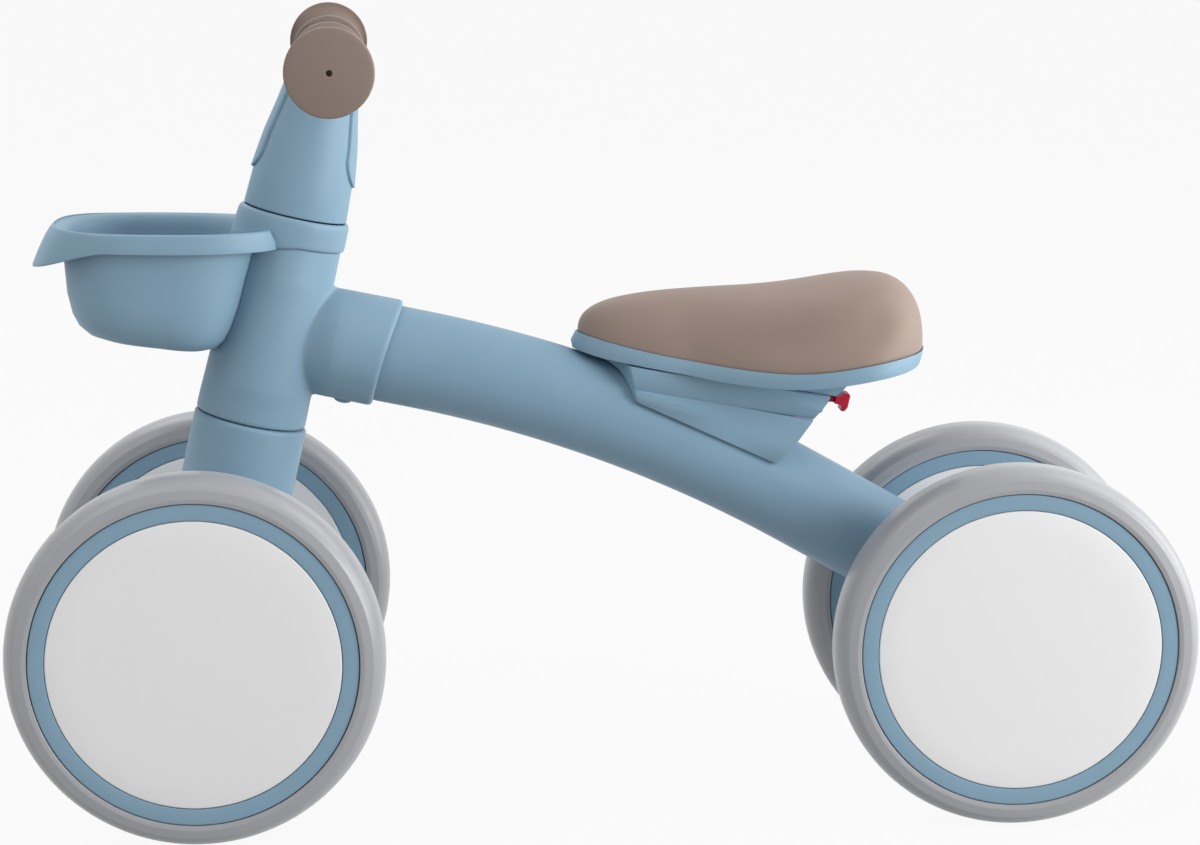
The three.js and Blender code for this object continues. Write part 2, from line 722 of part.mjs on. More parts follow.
// The clamp holds the handlebar, and its two straps reach down the front and back of the stem
function addClamp() {
  const body = rod(clampRadius, -clampHalf, clampHalf, barLine);
  const shell = cutBy(stemBody(seatGap + strap.thickness), stemBody(seatGap));
  const tipMiddle = stemBottom + strap.tip + strap.half;
  const arc = [0, 1, 2, 3, 4, 5, 6, 7, 8].map((step) => {
    const angle = (step * Math.PI) / 8;
    return [-strap.half * Math.cos(angle), tipMiddle - strap.half * Math.sin(angle)];
  });
  const outline = [[-strap.half, handlebarHeight], ...arc, [strap.half, handlebarHeight]];
  const depth = 2 * stemRadius;
  const straps = prism(outline, -depth, depth, swapYZ).intersect(shell);
  const bore = rod(handlebarRadius + seatGap, -clampHalf - past, clampHalf + past, barLine, round);
  const stemRoom = cutBy(stemBody(seatGap), rod(clampRadius, -clampHalf, clampHalf, barLine));
  const screwHole = drill(clampScrew, -clampRadius - past, clampRadius + past, clampScrewLine);
  const sinkFloor = clampRadius - clampScrew.headHeight - seatGap;
  const screwSink = sink(clampScrew, sinkFloor, clampRadius + past, clampScrewLine);
  const clamp = cutBy(joined(body, straps), bore, stemRoom, screwHole, screwSink);
  piece(stemFrame, "handlebar_clamp", "bluePlastic", clamp);
  const tip = -clampRadius - clampScrew.bite;
  const fixing = screw(clampScrew, tip, clampRadius - clampScrew.headHeight, clampScrewLine);
  piece(stemFrame, "clamp_screw", "steel", fixing);
}
addClamp();

function addHandlebar() {
  const end = gripEnd - grip.cap - seatGap;
  const tube = ring(handlebarRadius - handlebarWall, handlebarRadius, -end, end, barLine, round);
  const screwHole = drill(clampScrew, -clampRadius, clampRadius, clampScrewLine);
  piece(stemFrame, "handlebar", "steel", cutBy(tube, screwHole));
}
addHandlebar();

// A grip: a flange by the clamp, a slightly swollen hand part, and a hollow sweep out to the end disc
function addGrip(name, outboard) {
  const start = clampHalf + seatGap;
  const bore = handlebarRadius + seatGap;
  const neck = bore + grip.wall;
  const discBack = gripEnd - grip.discWidth / 2;
  const sweep = grip.disc - neck - grip.edge;
  const hollow = [0, 0.25, 0.5, 0.75, 1].map((share) => {
    const angle = (share * Math.PI) / 2;
    return [discBack - sweep * (1 - Math.cos(angle)), neck + sweep * (1 - Math.sin(angle))];
  });
  const profile = [
    [gripEnd - vent.depth, 0],
    [gripEnd - vent.depth, vent.radius],
    [gripEnd, vent.radius],
    [gripEnd - grip.edge / 4, grip.disc - 3 * grip.edge],
    [gripEnd - 1.5 * grip.edge, grip.disc],
    [discBack, grip.disc],
    ...hollow,
    [(start + discBack - sweep) / 2, neck + grip.belly],
    [start + 2 * gripFlange.width, neck],
    [start + gripFlange.width, neck + gripFlange.height],
    [start, neck + gripFlange.height],
    [start, bore],
    [gripEnd - grip.cap, bore],
    [gripEnd - grip.cap, 0],
  ];
  const line = outboard > 0 ? barLine : both(barLine, new THREE.Matrix4().makeRotationY(Math.PI));
  piece(stemFrame, name, "taupeRubber", turned(profile, line));
}
addGrip("left_grip", 1);
addGrip("right_grip", -1);

// ---------- seat bracket ----------
const trackPoint = (along, above) => {
  const place = new THREE.Vector3(0, along, above).applyMatrix4(track.matrix);
  return [place.y, place.z];
};
const skirtPoint = (y) => {
  const { droop, z } = tubeAt(y);
  return [y, z + skirtHeight / Math.cos(droop)];
};
// The bracket's side outline; its rear edge is a rounded foot and a hollow sweep up to the track's end
function bracketOutline() {
  const nose = trackPoint(0, 0);
  const foot = skirtPoint(trackStart + trackLength - skirtSetin);
  const end = trackPoint(trackLength, 0);
  const sweep = [[0.17, 0.05], [0.33, 0.26], [0.62, 0.63], [0.85, 0.88]].map(([back, up]) => [
    THREE.MathUtils.lerp(foot[0], end[0], back),
    THREE.MathUtils.lerp(foot[1], end[1], up),
  ]);
  const below = [nose[0], nose[1] - skirtHeight];
  return [below, skirtPoint(trackStart + bracketNose), foot, ...sweep, end, nose];
}
// The outline from above: a round nose, then straight sides
function bracketPlan() {
  const side = [...quarter, Math.PI / 2].map((angle) => [
    bracketHalf * Math.sin(angle),
    trackStart + bracketNose * (1 - Math.cos(angle)),
  ]);
  side.push([bracketHalf, trackStart + trackLength]);
  return [[0, trackStart], ...side, ...side.map(([x, y]) => [-x, y]).reverse()];
}
function addBracket() {
  const plan = prism(bracketPlan(), 0, 2 * trackHeight);
  const body = slab(bracketOutline(), 2 * bracketHalf).intersect(plan);
  const tubeRoom = sweptTube(tubeRadius + seatGap, 0, 0);
  const inner = bracketHalf - bracketWall;
  const reach = [slotStart, 2 * trackLength];
  const room = block([-inner, inner], reach, [-trackLength, -trackThickness], track.matrix);
  const slot = block([-trackSlot, trackSlot], reach, [-trackThickness - past, past], track.matrix);
  const sinkFloor = -bracketScrew.headHeight - 2 * seatGap;
  const holes = bracketScrew.places.flatMap((along) => [
    bracketScrewHole(along),
    sink(bracketScrew, sinkFloor, past, onTrack(along)),
  ]);
  piece(bike, "seat_bracket", "bluePlastic", cutBy(body, tubeRoom, room, slot, ...holes));
  ["front", "rear"].forEach((label, i) => {
    const under = -seatGap - bracketScrew.headHeight;
    const place = moved(0, bracketScrew.places[i], 0);
    const made = screw(bracketScrew, under - bracketScrew.length, under, place);
    piece(track, label + "_bracket_screw", "steel", made);
  });
}
addBracket();

// ---------- seat ----------
// The seat is a disc mapped to its horn shape: one way it is spread along the length, the other it
// widens to the rear
const seatFront = trackStart - seatOverhang;
const seatShare = (y) => (y - seatFront) / seatLength;
function seatHalfAt(share) {
  const widening = Math.max(0, (share - seatFlareFrom) / (1 - seatFlareFrom));
  return seatNoseHalf + seatFlare * widening ** 1.3;
}
function seamAt(y) {
  const share = seatShare(y);
  const lowest = trackHeight - seamDip;
  if (share < seamDipAt) return lowest + seamFrontRise * ((seamDipAt - share) / seamDipAt) ** 1.7;
  const rear = Math.min(1, (share - seamDipAt) / (1 - seamDipAt));
  return lowest + (seamRearRise * (1 - Math.cos(Math.PI * rear))) / 2;
}
const crownAt = (y) => {
  const share = Math.min(1, Math.max(0, (y - seatFront - crownRise.from) / (crownRise.to - crownRise.from)));
  return crownFront + crownGrowth * (y - seatFront) + crownRise.height * share * share * (3 - 2 * share);
};
// A turned profile of [height, radius] mapped to the seat: radius 1 is the seam, and what is past it
// stands out by the lip. Heights are millimetres from the seam, or 1 for the crown's own height.
function seatShell(profile, { crowned = false, lipWidth = 0 } = {}) {
  const points = profile.map(([height, radius]) => new THREE.Vector2(radius, height));
  const geometry = new THREE.LatheGeometry(points, postSides);
  geometry.rotateX(Math.PI / 2);
  const place = geometry.attributes.position;
  for (let i = 0; i < place.count; i++) {
    const [x, y, z] = [place.getX(i), place.getY(i), place.getZ(i)];
    const reach = Math.hypot(x, y);
    const scale = reach > 1 ? 1 / reach : 1;
    const beyond = reach > 1 ? lipWidth : 0;
    const share = (1 + y * scale) / 2;
    const along = seatFront + seatLength * share;
    const level = Math.max(0, 1 - Math.min(reach, 1) ** crownPower) ** (1 / crownPower);
    const rise = crowned && z > 0 ? crownAt(along) * level : z;
    place.setXYZ(
      i,
      x * scale * (seatHalfAt(share) + beyond),
      along + y * scale * beyond,
      seamAt(along) + rise,
    );
  }
  return solid(geometry);
}
const seatRings = [0, 0.35, 0.7, 1];
function addCushion() {
  const bottom = seatRings.map((radius) => [0, radius]);
  const top = [0.97, 0.9, 0.78, 0.6, 0.4, 0.2, 0].map((radius) => [1, radius]);
  piece(bike, "seat_cushion", "taupeLeather", seatShell([...bottom, ...top], { crowned: true }));
}
addCushion();

const pinLine = alongX(0, pivotAlong, -leverPivot.below);
const pin = { radius: leverPinRadius };
const retainerScrewPlaces = [
  ["front", tongue.start + retainerScrew.inset],
  ["rear", tongueBack - retainerScrew.inset],
];
// The pan has a keel that rests on the track, a tongue through its slot, and two lugs for the lever's pin
function addPan() {
  const top = seatRings.map((radius) => [-seatGap, radius]);
  const under = [[-seatGap, 1.01], [-panDepth, 1.01], [-panDepth, 0.97], [-panDepth, 0.5], [-panDepth, 0]];
  const dish = seatShell([...top, ...under], { lipWidth: panLip });
  const keelBody = slab(
    [
      [keel.front, runningGap],
      [keelBack, runningGap],
      [keelBack + keel.rearRun / 2, runningGap + keel.rearRun / 2],
      [keelBack + keel.rearRun, keel.backHeight - 2],
      [keelBack, keel.backHeight],
      [keel.front, keel.frontHeight],
    ],
    keel.half,
    track.matrix,
  );
  const below = block(
    [-seatLength, seatLength],
    [-seatLength, 2 * seatLength],
    [-seatLength, runningGap],
    track.matrix,
  );
  const overlap = 2 * runningGap;
  const tongueBody = block(
    [-tongueHalf, tongueHalf],
    [tongue.start, tongueBack],
    [tongueBottom, overlap],
    track.matrix,
  );
  const [middle, depth] = [pivotAlong, leverPivot.below + lug.drop];
  const lugOutline = [
    [middle - lug.half, overlap],
    [middle - lug.half, lug.drop / 2 - depth],
    [middle - lug.half / 2, -depth],
    [middle + lug.half / 2, -depth],
    [middle + lug.half, lug.drop / 2 - depth],
    [middle + lug.half, overlap],
  ];
  const lugs = [-1, 1].map((side) => {
    const aside = moved(side * (tongueHalf - lug.wall / 2), 0, 0);
    return slab(lugOutline, lug.wall / 2, both(track.matrix, aside));
  });
  const pinHole = drill(pin, -tongueHalf - past, tongueHalf + past, both(track.matrix, pinLine));
  const screwHoles = retainerScrewPlaces.map(([, along]) =>
    drill(retainerScrew, tongueBottom - past, tongueBottom + retainerScrew.bite + seatGap, onTrack(along)),
  );
  const body = joined(cutBy(joined(dish, keelBody), below), tongueBody, ...lugs);
  piece(bike, "seat_pan", "bluePlastic", cutBy(body, pinHole, ...screwHoles));
}
addPan();

// A plate under the track, which keeps the saddle on it
function addRetainer() {
  const top = -trackThickness - runningGap;
  const bottom = top - retainer.thickness;
  const span = [tongue.start + retainer.inset, tongueBack - retainer.inset];
  const holes = retainerScrewPlaces.map(([, along]) =>
    drill(retainerScrew, bottom - past, top + past, moved(0, along, 0)),
  );
  const plate = block([-retainer.half, retainer.half], span, [bottom, top]);
  piece(track, "retainer_plate", "steel", cutBy(plate, ...holes));
  for (const [label, along] of retainerScrewPlaces) {
    const tip = tongueBottom + retainerScrew.bite;
    const made = screw(retainerScrew, tip, bottom - seatGap, moved(0, along, 0));
    piece(track, label + "_retainer_screw", "steel", made);
  }
}
addRetainer();

// ---------- release lever ----------
function addLever() {
  const pivotHeight = -leverPivot.below;
  const back = pivotAlong + lever.reach;
  const coilRoom = coil.width + 2 * seatGap;
  const armOutline = [
    [pivotAlong, pivotHeight + lever.hub],
    [back - 7, -2.3],
    [back - 5, -1.8],
    [back - 5, -5.9],
    [back - 8, -5.6],
    [pivotAlong, pivotHeight - lever.hub],
  ];
  // The tail is a hook for a fingertip
  const tailOutline = [
    [back - 7.2, -2.1],
    [back - 4.6, -1.3],
    [back - 3, 0.1],
    [back - 0.6, 0.3],
    [back, -0.6],
    [back - 0.3, -6.6],
    [back - 1.6, -8.7],
    [back - 3.6, -9],
    [back - 3.4, -6.3],
    [back - 5.5, -5.8],
    [back - 7.4, -5.6],
  ];
  const hub = rod(lever.hub, -leverHalf, leverHalf - coilRoom, pinLine, small);
  const arm = slab(armOutline, leverHalf - coilRoom / 2, moved(-coilRoom / 2, 0, 0));
  const tail = slab(tailOutline, lever.tailHalf);
  const hole = drill(pin, -tongueHalf, tongueHalf, pinLine);
  piece(track, "release_lever", "redPlastic", cutBy(joined(hub, arm, tail), hole));
  piece(track, "lever_pin", "steel", rod(pin.radius, -tongueHalf, tongueHalf, pinLine, small));
  const bore = pin.radius + seatGap;
  const start = leverHalf - coilRoom + seatGap;
  const spring = ring(bore, bore + coil.wall, start, start + coil.width, pinLine, small);
  piece(track, "lever_spring", "steel", spring);
}
addLever();

// ---------- basket ----------
const headTopPlace = upHead(headTop);
const rimZ = headTopPlace[1] - rimBelowHead;
const basketY = headTopPlace[0] - rimBelowHead * Math.tan(headAngle) - basketReach;
// How far the outline lies from the middle, in a direction given by its two shares, against a circle
const squareness = (across, ahead) =>
  (Math.abs(across) ** basketSquare + Math.abs(ahead) ** basketSquare) ** (-1 / basketSquare);
const directionOf = (x, y) => {
  const reach = Math.hypot(x, y);
  return reach > 1e-6 ? [x / reach, y / reach] : [1, 0];
};
function mapped(profile, place) {
  const points = profile.map(([height, radius]) => new THREE.Vector2(radius, height));
  const geometry = new THREE.LatheGeometry(points, postSides);
  geometry.rotateX(Math.PI / 2);
  const position = geometry.attributes.position;
  for (let i = 0; i < position.count; i++) {
    position.setXYZ(i, ...place(position.getX(i), position.getY(i), position.getZ(i)));
  }
  return solid(geometry);
}
// A profile of [height, radius]: radius 1 is the wall at the rim, height 0 the floor and 1 the rim
function basketShell(profile, inset) {
  return mapped(profile, (x, y, z) => {
    const [across, back] = directionOf(x, y);
    const plan = Math.hypot(x, y) * squareness(across, back);
    const flat = basketY + back * plan * (basketHalfLength - inset);
    const floor = rimZ - basketDepth - basketSlope * (flat - basketY) + inset;
    const height = floor + z * (rimZ - floor);
    const rake = back > 0 ? basketRake * (rimZ - height) * back * Math.min(1, plan) : 0;
    return [across * plan * (basketHalfWidth - inset), flat - rake, height];
  });
}
// The rim's band stands out from the tub, and at the front it drops and flares into a lip
function rimRing() {
  const { width, height, thickness, edge } = rimBand;
  const base = 2 * (width + basketWall);
  const section = [
    [width, edge],
    [width - edge, 0],
    [-basketWall, 0],
    [-basketWall, thickness],
    [width - thickness, thickness],
    [width - thickness, height],
    [width, height],
    [width, edge],
  ];
  const profile = section.map(([out, down]) => [down, base + out]);
  return mapped(profile, (x, y, down) => {
    const [across, back] = directionOf(x, y);
    const out = Math.hypot(x, y) - base;
    const plan = squareness(across, back);
    const front = THREE.MathUtils.smoothstep(-back, lip.from, 1);
    const fall = Math.max(0, down - thickness) / (height - thickness);
    const flare = out > 0 ? lip.flare * front * fall : 0;
    return [
      across * (plan * basketHalfWidth + out),
      basketY + back * (plan * basketHalfLength + out) - flare,
      rimZ - down - lip.drop * front * fall,
    ];
  });
}
function addBasket() {
  const wall = [[0, 0], [0, 0.55], [0.06, 0.78], [0.2, 0.9], [0.4, 0.955], [1, 1]];
  const tub = basketShell([...wall, [1, 0]], 0);
  const inside = basketShell([...wall, [1.4, 1.02], [1.4, 0]], basketWall);
  const backRadius = basketWall + seatGap;
  const [foot, top] = [collarBottom - basketDepth - past, headTop + past];
  const backWall = turned(
    [[foot, 0], [foot, headRadiusAt(foot) + backRadius], [top, headRadiusAt(top) + backRadius], [top, 0]],
    head.matrix,
  );
  const behind = block([-100, 100], [past, 200], [-200, 400], head.matrix);
  const tray = cutBy(joined(tub, rimRing()), cutBy(inside, backWall), behind);
  const band = turned(
    [
      [collarBottom, 0],
      [collarBottom, collarRadius - collar.edge],
      [collarBottom + collar.edge, collarRadius],
      [headTop - collar.edge, collarRadius],
      [headTop, collarRadius - collar.edge],
      [headTop, 0],
    ],
    head.matrix,
  );
  const opening = rod(2 * steererRadius, headTop - past, headTop + basketDepth, head.matrix);
  const hole = drill(basketScrew, -headBottomRadius - 20, 0, both(head.matrix, basketScrewLine));
  const sleeveRoom = rod(sleeveRadius + 1, 0, sleeveLength, sleeve.matrix);
  const cuts = [headPost(seatGap, head.matrix), opening, hole, sleeveRoom];
  piece(bike, "basket", "bluePlastic", cutBy(joined(tray, band), ...cuts));
  const under = headRadiusAt(headTop - basketScrew.belowHead) + backRadius + 1 + seatGap;
  const made = screw(basketScrew, basketScrew.bite - under, -under, basketScrewLine);
  piece(head, "basket_screw", "steel", made);
}
addBasket();

export default bike;
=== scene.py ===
import json
import math

import bmesh
import bpy
from mathutils import Matrix, Vector
from mathutils.kdtree import KDTree


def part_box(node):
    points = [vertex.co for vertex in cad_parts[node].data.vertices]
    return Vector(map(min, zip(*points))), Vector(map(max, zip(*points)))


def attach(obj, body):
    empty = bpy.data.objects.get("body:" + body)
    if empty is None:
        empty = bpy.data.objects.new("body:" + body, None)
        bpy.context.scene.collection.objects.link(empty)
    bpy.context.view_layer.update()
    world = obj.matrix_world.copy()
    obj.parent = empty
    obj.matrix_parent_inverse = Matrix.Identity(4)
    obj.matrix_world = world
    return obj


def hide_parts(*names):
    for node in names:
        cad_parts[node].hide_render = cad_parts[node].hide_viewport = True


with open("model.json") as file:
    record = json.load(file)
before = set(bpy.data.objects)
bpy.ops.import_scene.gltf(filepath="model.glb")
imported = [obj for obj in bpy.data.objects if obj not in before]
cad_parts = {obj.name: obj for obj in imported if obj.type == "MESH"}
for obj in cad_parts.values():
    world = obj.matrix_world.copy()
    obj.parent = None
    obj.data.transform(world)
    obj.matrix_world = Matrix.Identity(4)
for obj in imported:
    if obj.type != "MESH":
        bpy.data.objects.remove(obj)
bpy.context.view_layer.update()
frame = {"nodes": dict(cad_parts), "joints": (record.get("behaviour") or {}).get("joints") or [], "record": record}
record = frame["record"]
joints = {joint["name"]: joint for joint in frame["joints"]}
print("frame loaded,", len(frame["nodes"]), "nodes")

mm = 0.001  # everything is built in millimetres and scaled when it is finished
fullTurn = 2 * math.pi
quarterTurn = math.pi / 2


def lerp(a, b, share):
    return a + (b - a) * share


def ease(low, high, value):
    share = min(1.0, max(0.0, (value - low) / (high - low)))
    return share * share * (3 - 2 * share)


def arc(centre, radii, start, end, steps):  # points of an elliptical arc, angles in degrees
    angles = [math.radians(lerp(start, end, i / steps)) for i in range(steps + 1)]
    return [(centre[0] + radii[0] * math.cos(a), centre[1] + radii[1] * math.sin(a)) for a in angles]


def vertsOf(geom):
    return [item for item in geom if isinstance(item, bmesh.types.BMVert)]


def wire(points, closed=False):  # each point is (x, z) or (x, z, rounding)
    bm = bmesh.new()
    line = [bm.verts.new((point[0], 0, point[1])) for point in points]
    for a, b in zip(line, line[1:] + line[:1] if closed else line[1:]):
        bm.edges.new((a, b))
    for vert, size in [(vert, point[2]) for vert, point in zip(line, points) if len(point) > 2]:
        bmesh.ops.bevel(
            bm, geom=[vert], offset=size, offset_type="OFFSET", affect="VERTICES",
            segments=4, profile=0.5, material=-1,
        )
    return bm


def cleaned(bm):
    bmesh.ops.remove_doubles(bm, verts=bm.verts, dist=0.002)
    bmesh.ops.recalc_face_normals(bm, faces=bm.faces)
    return bm


def turned(profile, steps=96, closed=False, place=None):  # profile of (height, radius) round Z
    bm = wire([(point[1], point[0], *point[2:]) for point in profile], closed)
    bmesh.ops.spin(
        bm, geom=bm.verts[:] + bm.edges[:], cent=(0, 0, 0), axis=(0, 0, 1),
        angle=fullTurn, steps=steps, use_merge=True,
    )
    cleaned(bm)
    if place:
        bm.transform(place)
    return bm


def rod(radius, low, high, place=None, edge=0.0, steps=64):
    rounding = (edge,) if edge else ()
    corners = [(low, 0), (low, radius, *rounding), (high, radius, *rounding), (high, 0)]
    return turned(corners, steps, place=place)


def thickened(bm, move):  # pulls a flat outline out by this move
    made = bmesh.ops.extrude_face_region(bm, geom=bm.faces[:])["geom"]
    bmesh.ops.translate(bm, vec=move, verts=vertsOf(made))
    return cleaned(bm)


def slab(outline, half, place=None):  # an outline of (y, z) made 2 * half wide across X
    bm = wire(outline, closed=True)
    bm.transform(Matrix(((0, 0, 0, -half), (1, 0, 0, 0), (0, 0, 1, 0), (0, 0, 0, 1))))
    bmesh.ops.contextual_create(bm, geom=bm.edges[:])
    thickened(bm, (2 * half, 0, 0))
    if place:
        bm.transform(place)
    return bm


def box(low, high, place):
    bm = bmesh.new()
    size = [b - a for a, b in zip(low, high)]
    middle = [(a + b) / 2 for a, b in zip(low, high)]
    bmesh.ops.create_cube(bm, size=1, matrix=Matrix.Translation(middle) @ Matrix.Diagonal((*size, 1)))
    bm.transform(place)
    return bm


def newObject(name, data):
    piece = bpy.data.objects.new(name, data)
    bpy.context.scene.collection.objects.link(piece)
    return piece


def workpiece(*parts):  # one object of several overlapping bodies
    mesh = bpy.data.meshes.new("work")
    whole = bmesh.new()
    for bm in parts:
        bm.to_mesh(mesh)
        whole.from_mesh(mesh)
        bm.free()
    whole.to_mesh(mesh)
    whole.free()
    return newObject("work", mesh)


def lifted(piece):  # takes a workpiece back into a bmesh
    bm = bmesh.new()
    bm.from_mesh(piece.data)
    bpy.data.objects.remove(piece)
    return bm


def applied(piece):
    bpy.context.view_layer.update()
    graph = bpy.context.evaluated_depsgraph_get()
    mesh = bpy.data.meshes.new_from_object(piece.evaluated_get(graph))
    piece.modifiers.clear()
    piece.data = mesh
    return piece


def relaxed(piece, rounds, group=""):
    soften = piece.modifiers.new("soften", "SMOOTH")
    soften.factor = 0.5
    soften.iterations = rounds
    soften.vertex_group = group
    return applied(piece)


def fused(piece, voxel, relax=4):  # melts overlapping bodies into one skin with soft edges
    remesh = piece.modifiers.new("melt", "REMESH")
    remesh.mode = "VOXEL"
    remesh.voxel_size = voxel
    return relaxed(piece, relax)


def blended(piece, weightAt, rounds):  # smooths hard where weightAt(point) is over 0
    group = piece.vertex_groups.new(name="blend")
    for vert in piece.data.vertices:
        weight = weightAt(vert.co)
        if weight > 0:
            group.add([vert.index], weight, "REPLACE")
    return relaxed(piece, rounds, group.name)


def carved(piece, *cutters, operation="DIFFERENCE"):
    tools = [workpiece(cutter) for cutter in cutters]
    for tool in tools:
        cut = piece.modifiers.new("cut", "BOOLEAN")
        cut.operation = operation
        cut.solver = "EXACT"
        cut.object = tool
    applied(piece)
    for tool in tools:
        bpy.data.objects.remove(tool)
    return piece


def openHoles(bm, most=200):  # takes out a thin sheet that a cut can leave across a hole
    for rim in [edge for edge in bm.edges if len(edge.link_faces) == 3]:
        for start in rim.link_faces[:] if len(rim.link_faces) == 3 else ():
            sheet, front = {start}, [start]
            while front and len(sheet) < most:
                for edge in front.pop().edges:
                    fresh = set(edge.link_faces) - sheet if len(edge.link_faces) == 2 else ()
                    sheet.update(fresh)
                    front.extend(fresh)
            if not front:
                bmesh.ops.delete(bm, geom=list(sheet), context="FACES")
                break


def finished(piece, name, body, slot, node, crease=35):
    if isinstance(piece, bmesh.types.BMesh):
        piece = workpiece(piece)
    bm = bmesh.new()  # slivers left by the cuts are welded shut
    bm.from_mesh(piece.data)
    bmesh.ops.remove_doubles(bm, verts=bm.verts, dist=0.005)
    bmesh.ops.dissolve_degenerate(bm, edges=bm.edges, dist=0.005)
    openHoles(bm)
    bm.to_mesh(piece.data)
    bm.free()
    piece.name = name
    piece.data.name = name
    piece.data.transform(Matrix.Scale(mm, 4))
    for polygon in piece.data.polygons:
        polygon.use_smooth = True
    piece.data.set_sharp_from_angle(angle=math.radians(crease))
    piece.data.materials.clear()
    piece.data.materials.append(finishes[slot])
    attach(piece, body)
    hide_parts(node)
    return piece


# Where things are, read from the frame.

def lowHigh(node):
    low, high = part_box(node)
    return low / mm, high / mm


def middleOf(node):
    low, high = lowHigh(node)
    return (low + high) / 2


def onward(place, z):  # the same place moved along its own Z
    return place @ Matrix.Translation((0, 0, z))


def aboutX(angle):
    return Matrix.Rotation(angle, 4, "X")


def leaning(origin, lean):  # Z up a line that leans back by this angle
    return Matrix.Translation(origin) @ aboutX(-lean)


def alongSlope(origin, droop):  # Z rearward down a slope, Y up out of it
    s, c = math.sin(droop), math.cos(droop)
    turn = Matrix(((-1, 0, 0, 0), (0, s, c, 0), (0, c, -s, 0), (0, 0, 0, 1)))
    return Matrix.Translation(origin) @ turn


def acrossX(side=1):  # lays a piece turned about Z along X, its top to the left or the right
    return Matrix.Rotation(side * quarterTurn, 4, "Y")


steerJoint = joints["steering_turn"]
steerAxis = Vector(steerJoint["axis"])
headLean = math.atan2(steerAxis.y, steerAxis.z)
headFrame = leaning(Vector(steerJoint["pos_m"]) / mm, headLean)
intoHead = headFrame.inverted()
stemTurn = math.radians(1.85)  # the stem is clamped a little out of square
stemFrame = headFrame @ Matrix.Rotation(stemTurn, 4, "Z")

slideAxis = Vector(joints["saddle_slide"]["axis"])
trackDroop = math.atan2(-slideAxis.z, slideAxis.y)
bracketLow, bracketHigh = lowHigh("seat_bracket")
trackStart, trackHeight = bracketLow.y, bracketHigh.z
trackFrame = leaning(Vector((0, trackStart, trackHeight)), trackDroop)
rearAxle = Vector([0, *(value / mm for value in joints["rear_left_wheel_spin"]["pos_m"][1:])])

# The frame tube's line runs straight out of the sleeve, round one long bend, and straight to the rear axle.
tubeLine = {
    "root": 148.7, "droop": math.radians(11), "straight": 72.7, "bendRadius": 670,
    "radius": 24.3, "wall": 2, "start": 31, "end": 28.3, "aboveAxle": 5.6,
}
sleeveFrame = alongSlope(headFrame @ Vector((0, 0, tubeLine["root"])), tubeLine["droop"])
bendStart = sleeveFrame @ Vector((0, 0, tubeLine["straight"]))


def outOf(droop):  # the way square out of a line with this droop
    return Vector((0, math.sin(droop), math.cos(droop)))


bendCentre = bendStart - outOf(tubeLine["droop"]) * tubeLine["bendRadius"]


def onBend(angle):
    return bendCentre + Matrix.Rotation(-angle, 3, "X") @ (bendStart - bendCentre)


def passesAbove(angle):  # how far the straight after this bend passes above the rear axle
    droop = tubeLine["droop"] + angle
    point = onBend(angle)
    return (point.z - rearAxle.z) * math.cos(droop) - (rearAxle.y - point.y) * math.sin(droop)


bendAngle, tooFar = 0.0, math.pi / 3
for _ in range(40):
    halfway = (bendAngle + tooFar) / 2
    if passesAbove(halfway) > tubeLine["aboveAxle"]:
        bendAngle = halfway
    else:
        tooFar = halfway
rearDroop = tubeLine["droop"] + bendAngle
carrierFrame = alongSlope(rearAxle + outOf(rearDroop) * tubeLine["aboveAxle"], rearDroop)


def tubeAt(y):  # droop and height of the tube's line at a Y on its bend
    droop = math.asin(math.sin(tubeLine["droop"]) + (y - bendStart.y) / tubeLine["bendRadius"])
    return droop, onBend(droop - tubeLine["droop"]).z


# Finishes: three skins, each a group, and a table of what each finish gives its skin.

def srgb(red, green, blue):  # 0-255 screen values to the linear colour a shader wants
    def linear(value):
        share = value / 255
        return share / 12.92 if share <= 0.04045 else ((share + 0.055) / 1.055) ** 2.4
    return (linear(red), linear(green), linear(blue), 1)


def feed(tree, socket, value):  # a number is set on the socket, and another node's output is linked to it
    if isinstance(value, (int, float)):
        socket.default_value = value
    else:
        tree.links.new(value, socket)


def newSkin(name, values):
    group = bpy.data.node_groups.new(name, "ShaderNodeTree")
    sockets = [("Vector", "Vector", "INPUT"), ("Color", "Color", "INPUT")]
    sockets += [(label, "Float", "INPUT") for label in values]
    sockets += [("Color", "Color", "OUTPUT"), ("Roughness", "Float", "OUTPUT"), ("Height", "Float", "OUTPUT")]
    for label, kind, way in sockets:
        group.interface.new_socket(name=label, in_out=way, socket_type="NodeSocket" + kind)
    given = group.nodes.new("NodeGroupInput").outputs
    wanted = group.nodes.new("NodeGroupOutput").inputs
    return group, given, wanted


def noiseNode(tree, vector, scale, detail, roughness=0.5):
    node = tree.nodes.new("ShaderNodeTexNoise")
    for label, value in (("Vector", vector), ("Scale", scale), ("Detail", detail), ("Roughness", roughness)):
        feed(tree, node.inputs[label], value)
    return node.outputs["Fac"]


def cellNode(tree, vector, scale, feature):
    node = tree.nodes.new("ShaderNodeTexVoronoi")
    node.feature = feature
    feed(tree, node.inputs["Vector"], vector)
    feed(tree, node.inputs["Scale"], scale)
    return node.outputs["Distance"]


def rangeNode(tree, value, low, high, fromLow=0.3, fromHigh=0.7):
    node = tree.nodes.new("ShaderNodeMapRange")
    for socket, given in zip(node.inputs, (value, fromLow, fromHigh, low, high)):
        feed(tree, socket, given)
    return node.outputs["Result"]


def mathNode(tree, operation, a, b):
    node = tree.nodes.new("ShaderNodeMath")
    node.operation = operation
    feed(tree, node.inputs[0], a)
    feed(tree, node.inputs[1], b)
    return node.outputs["Value"]


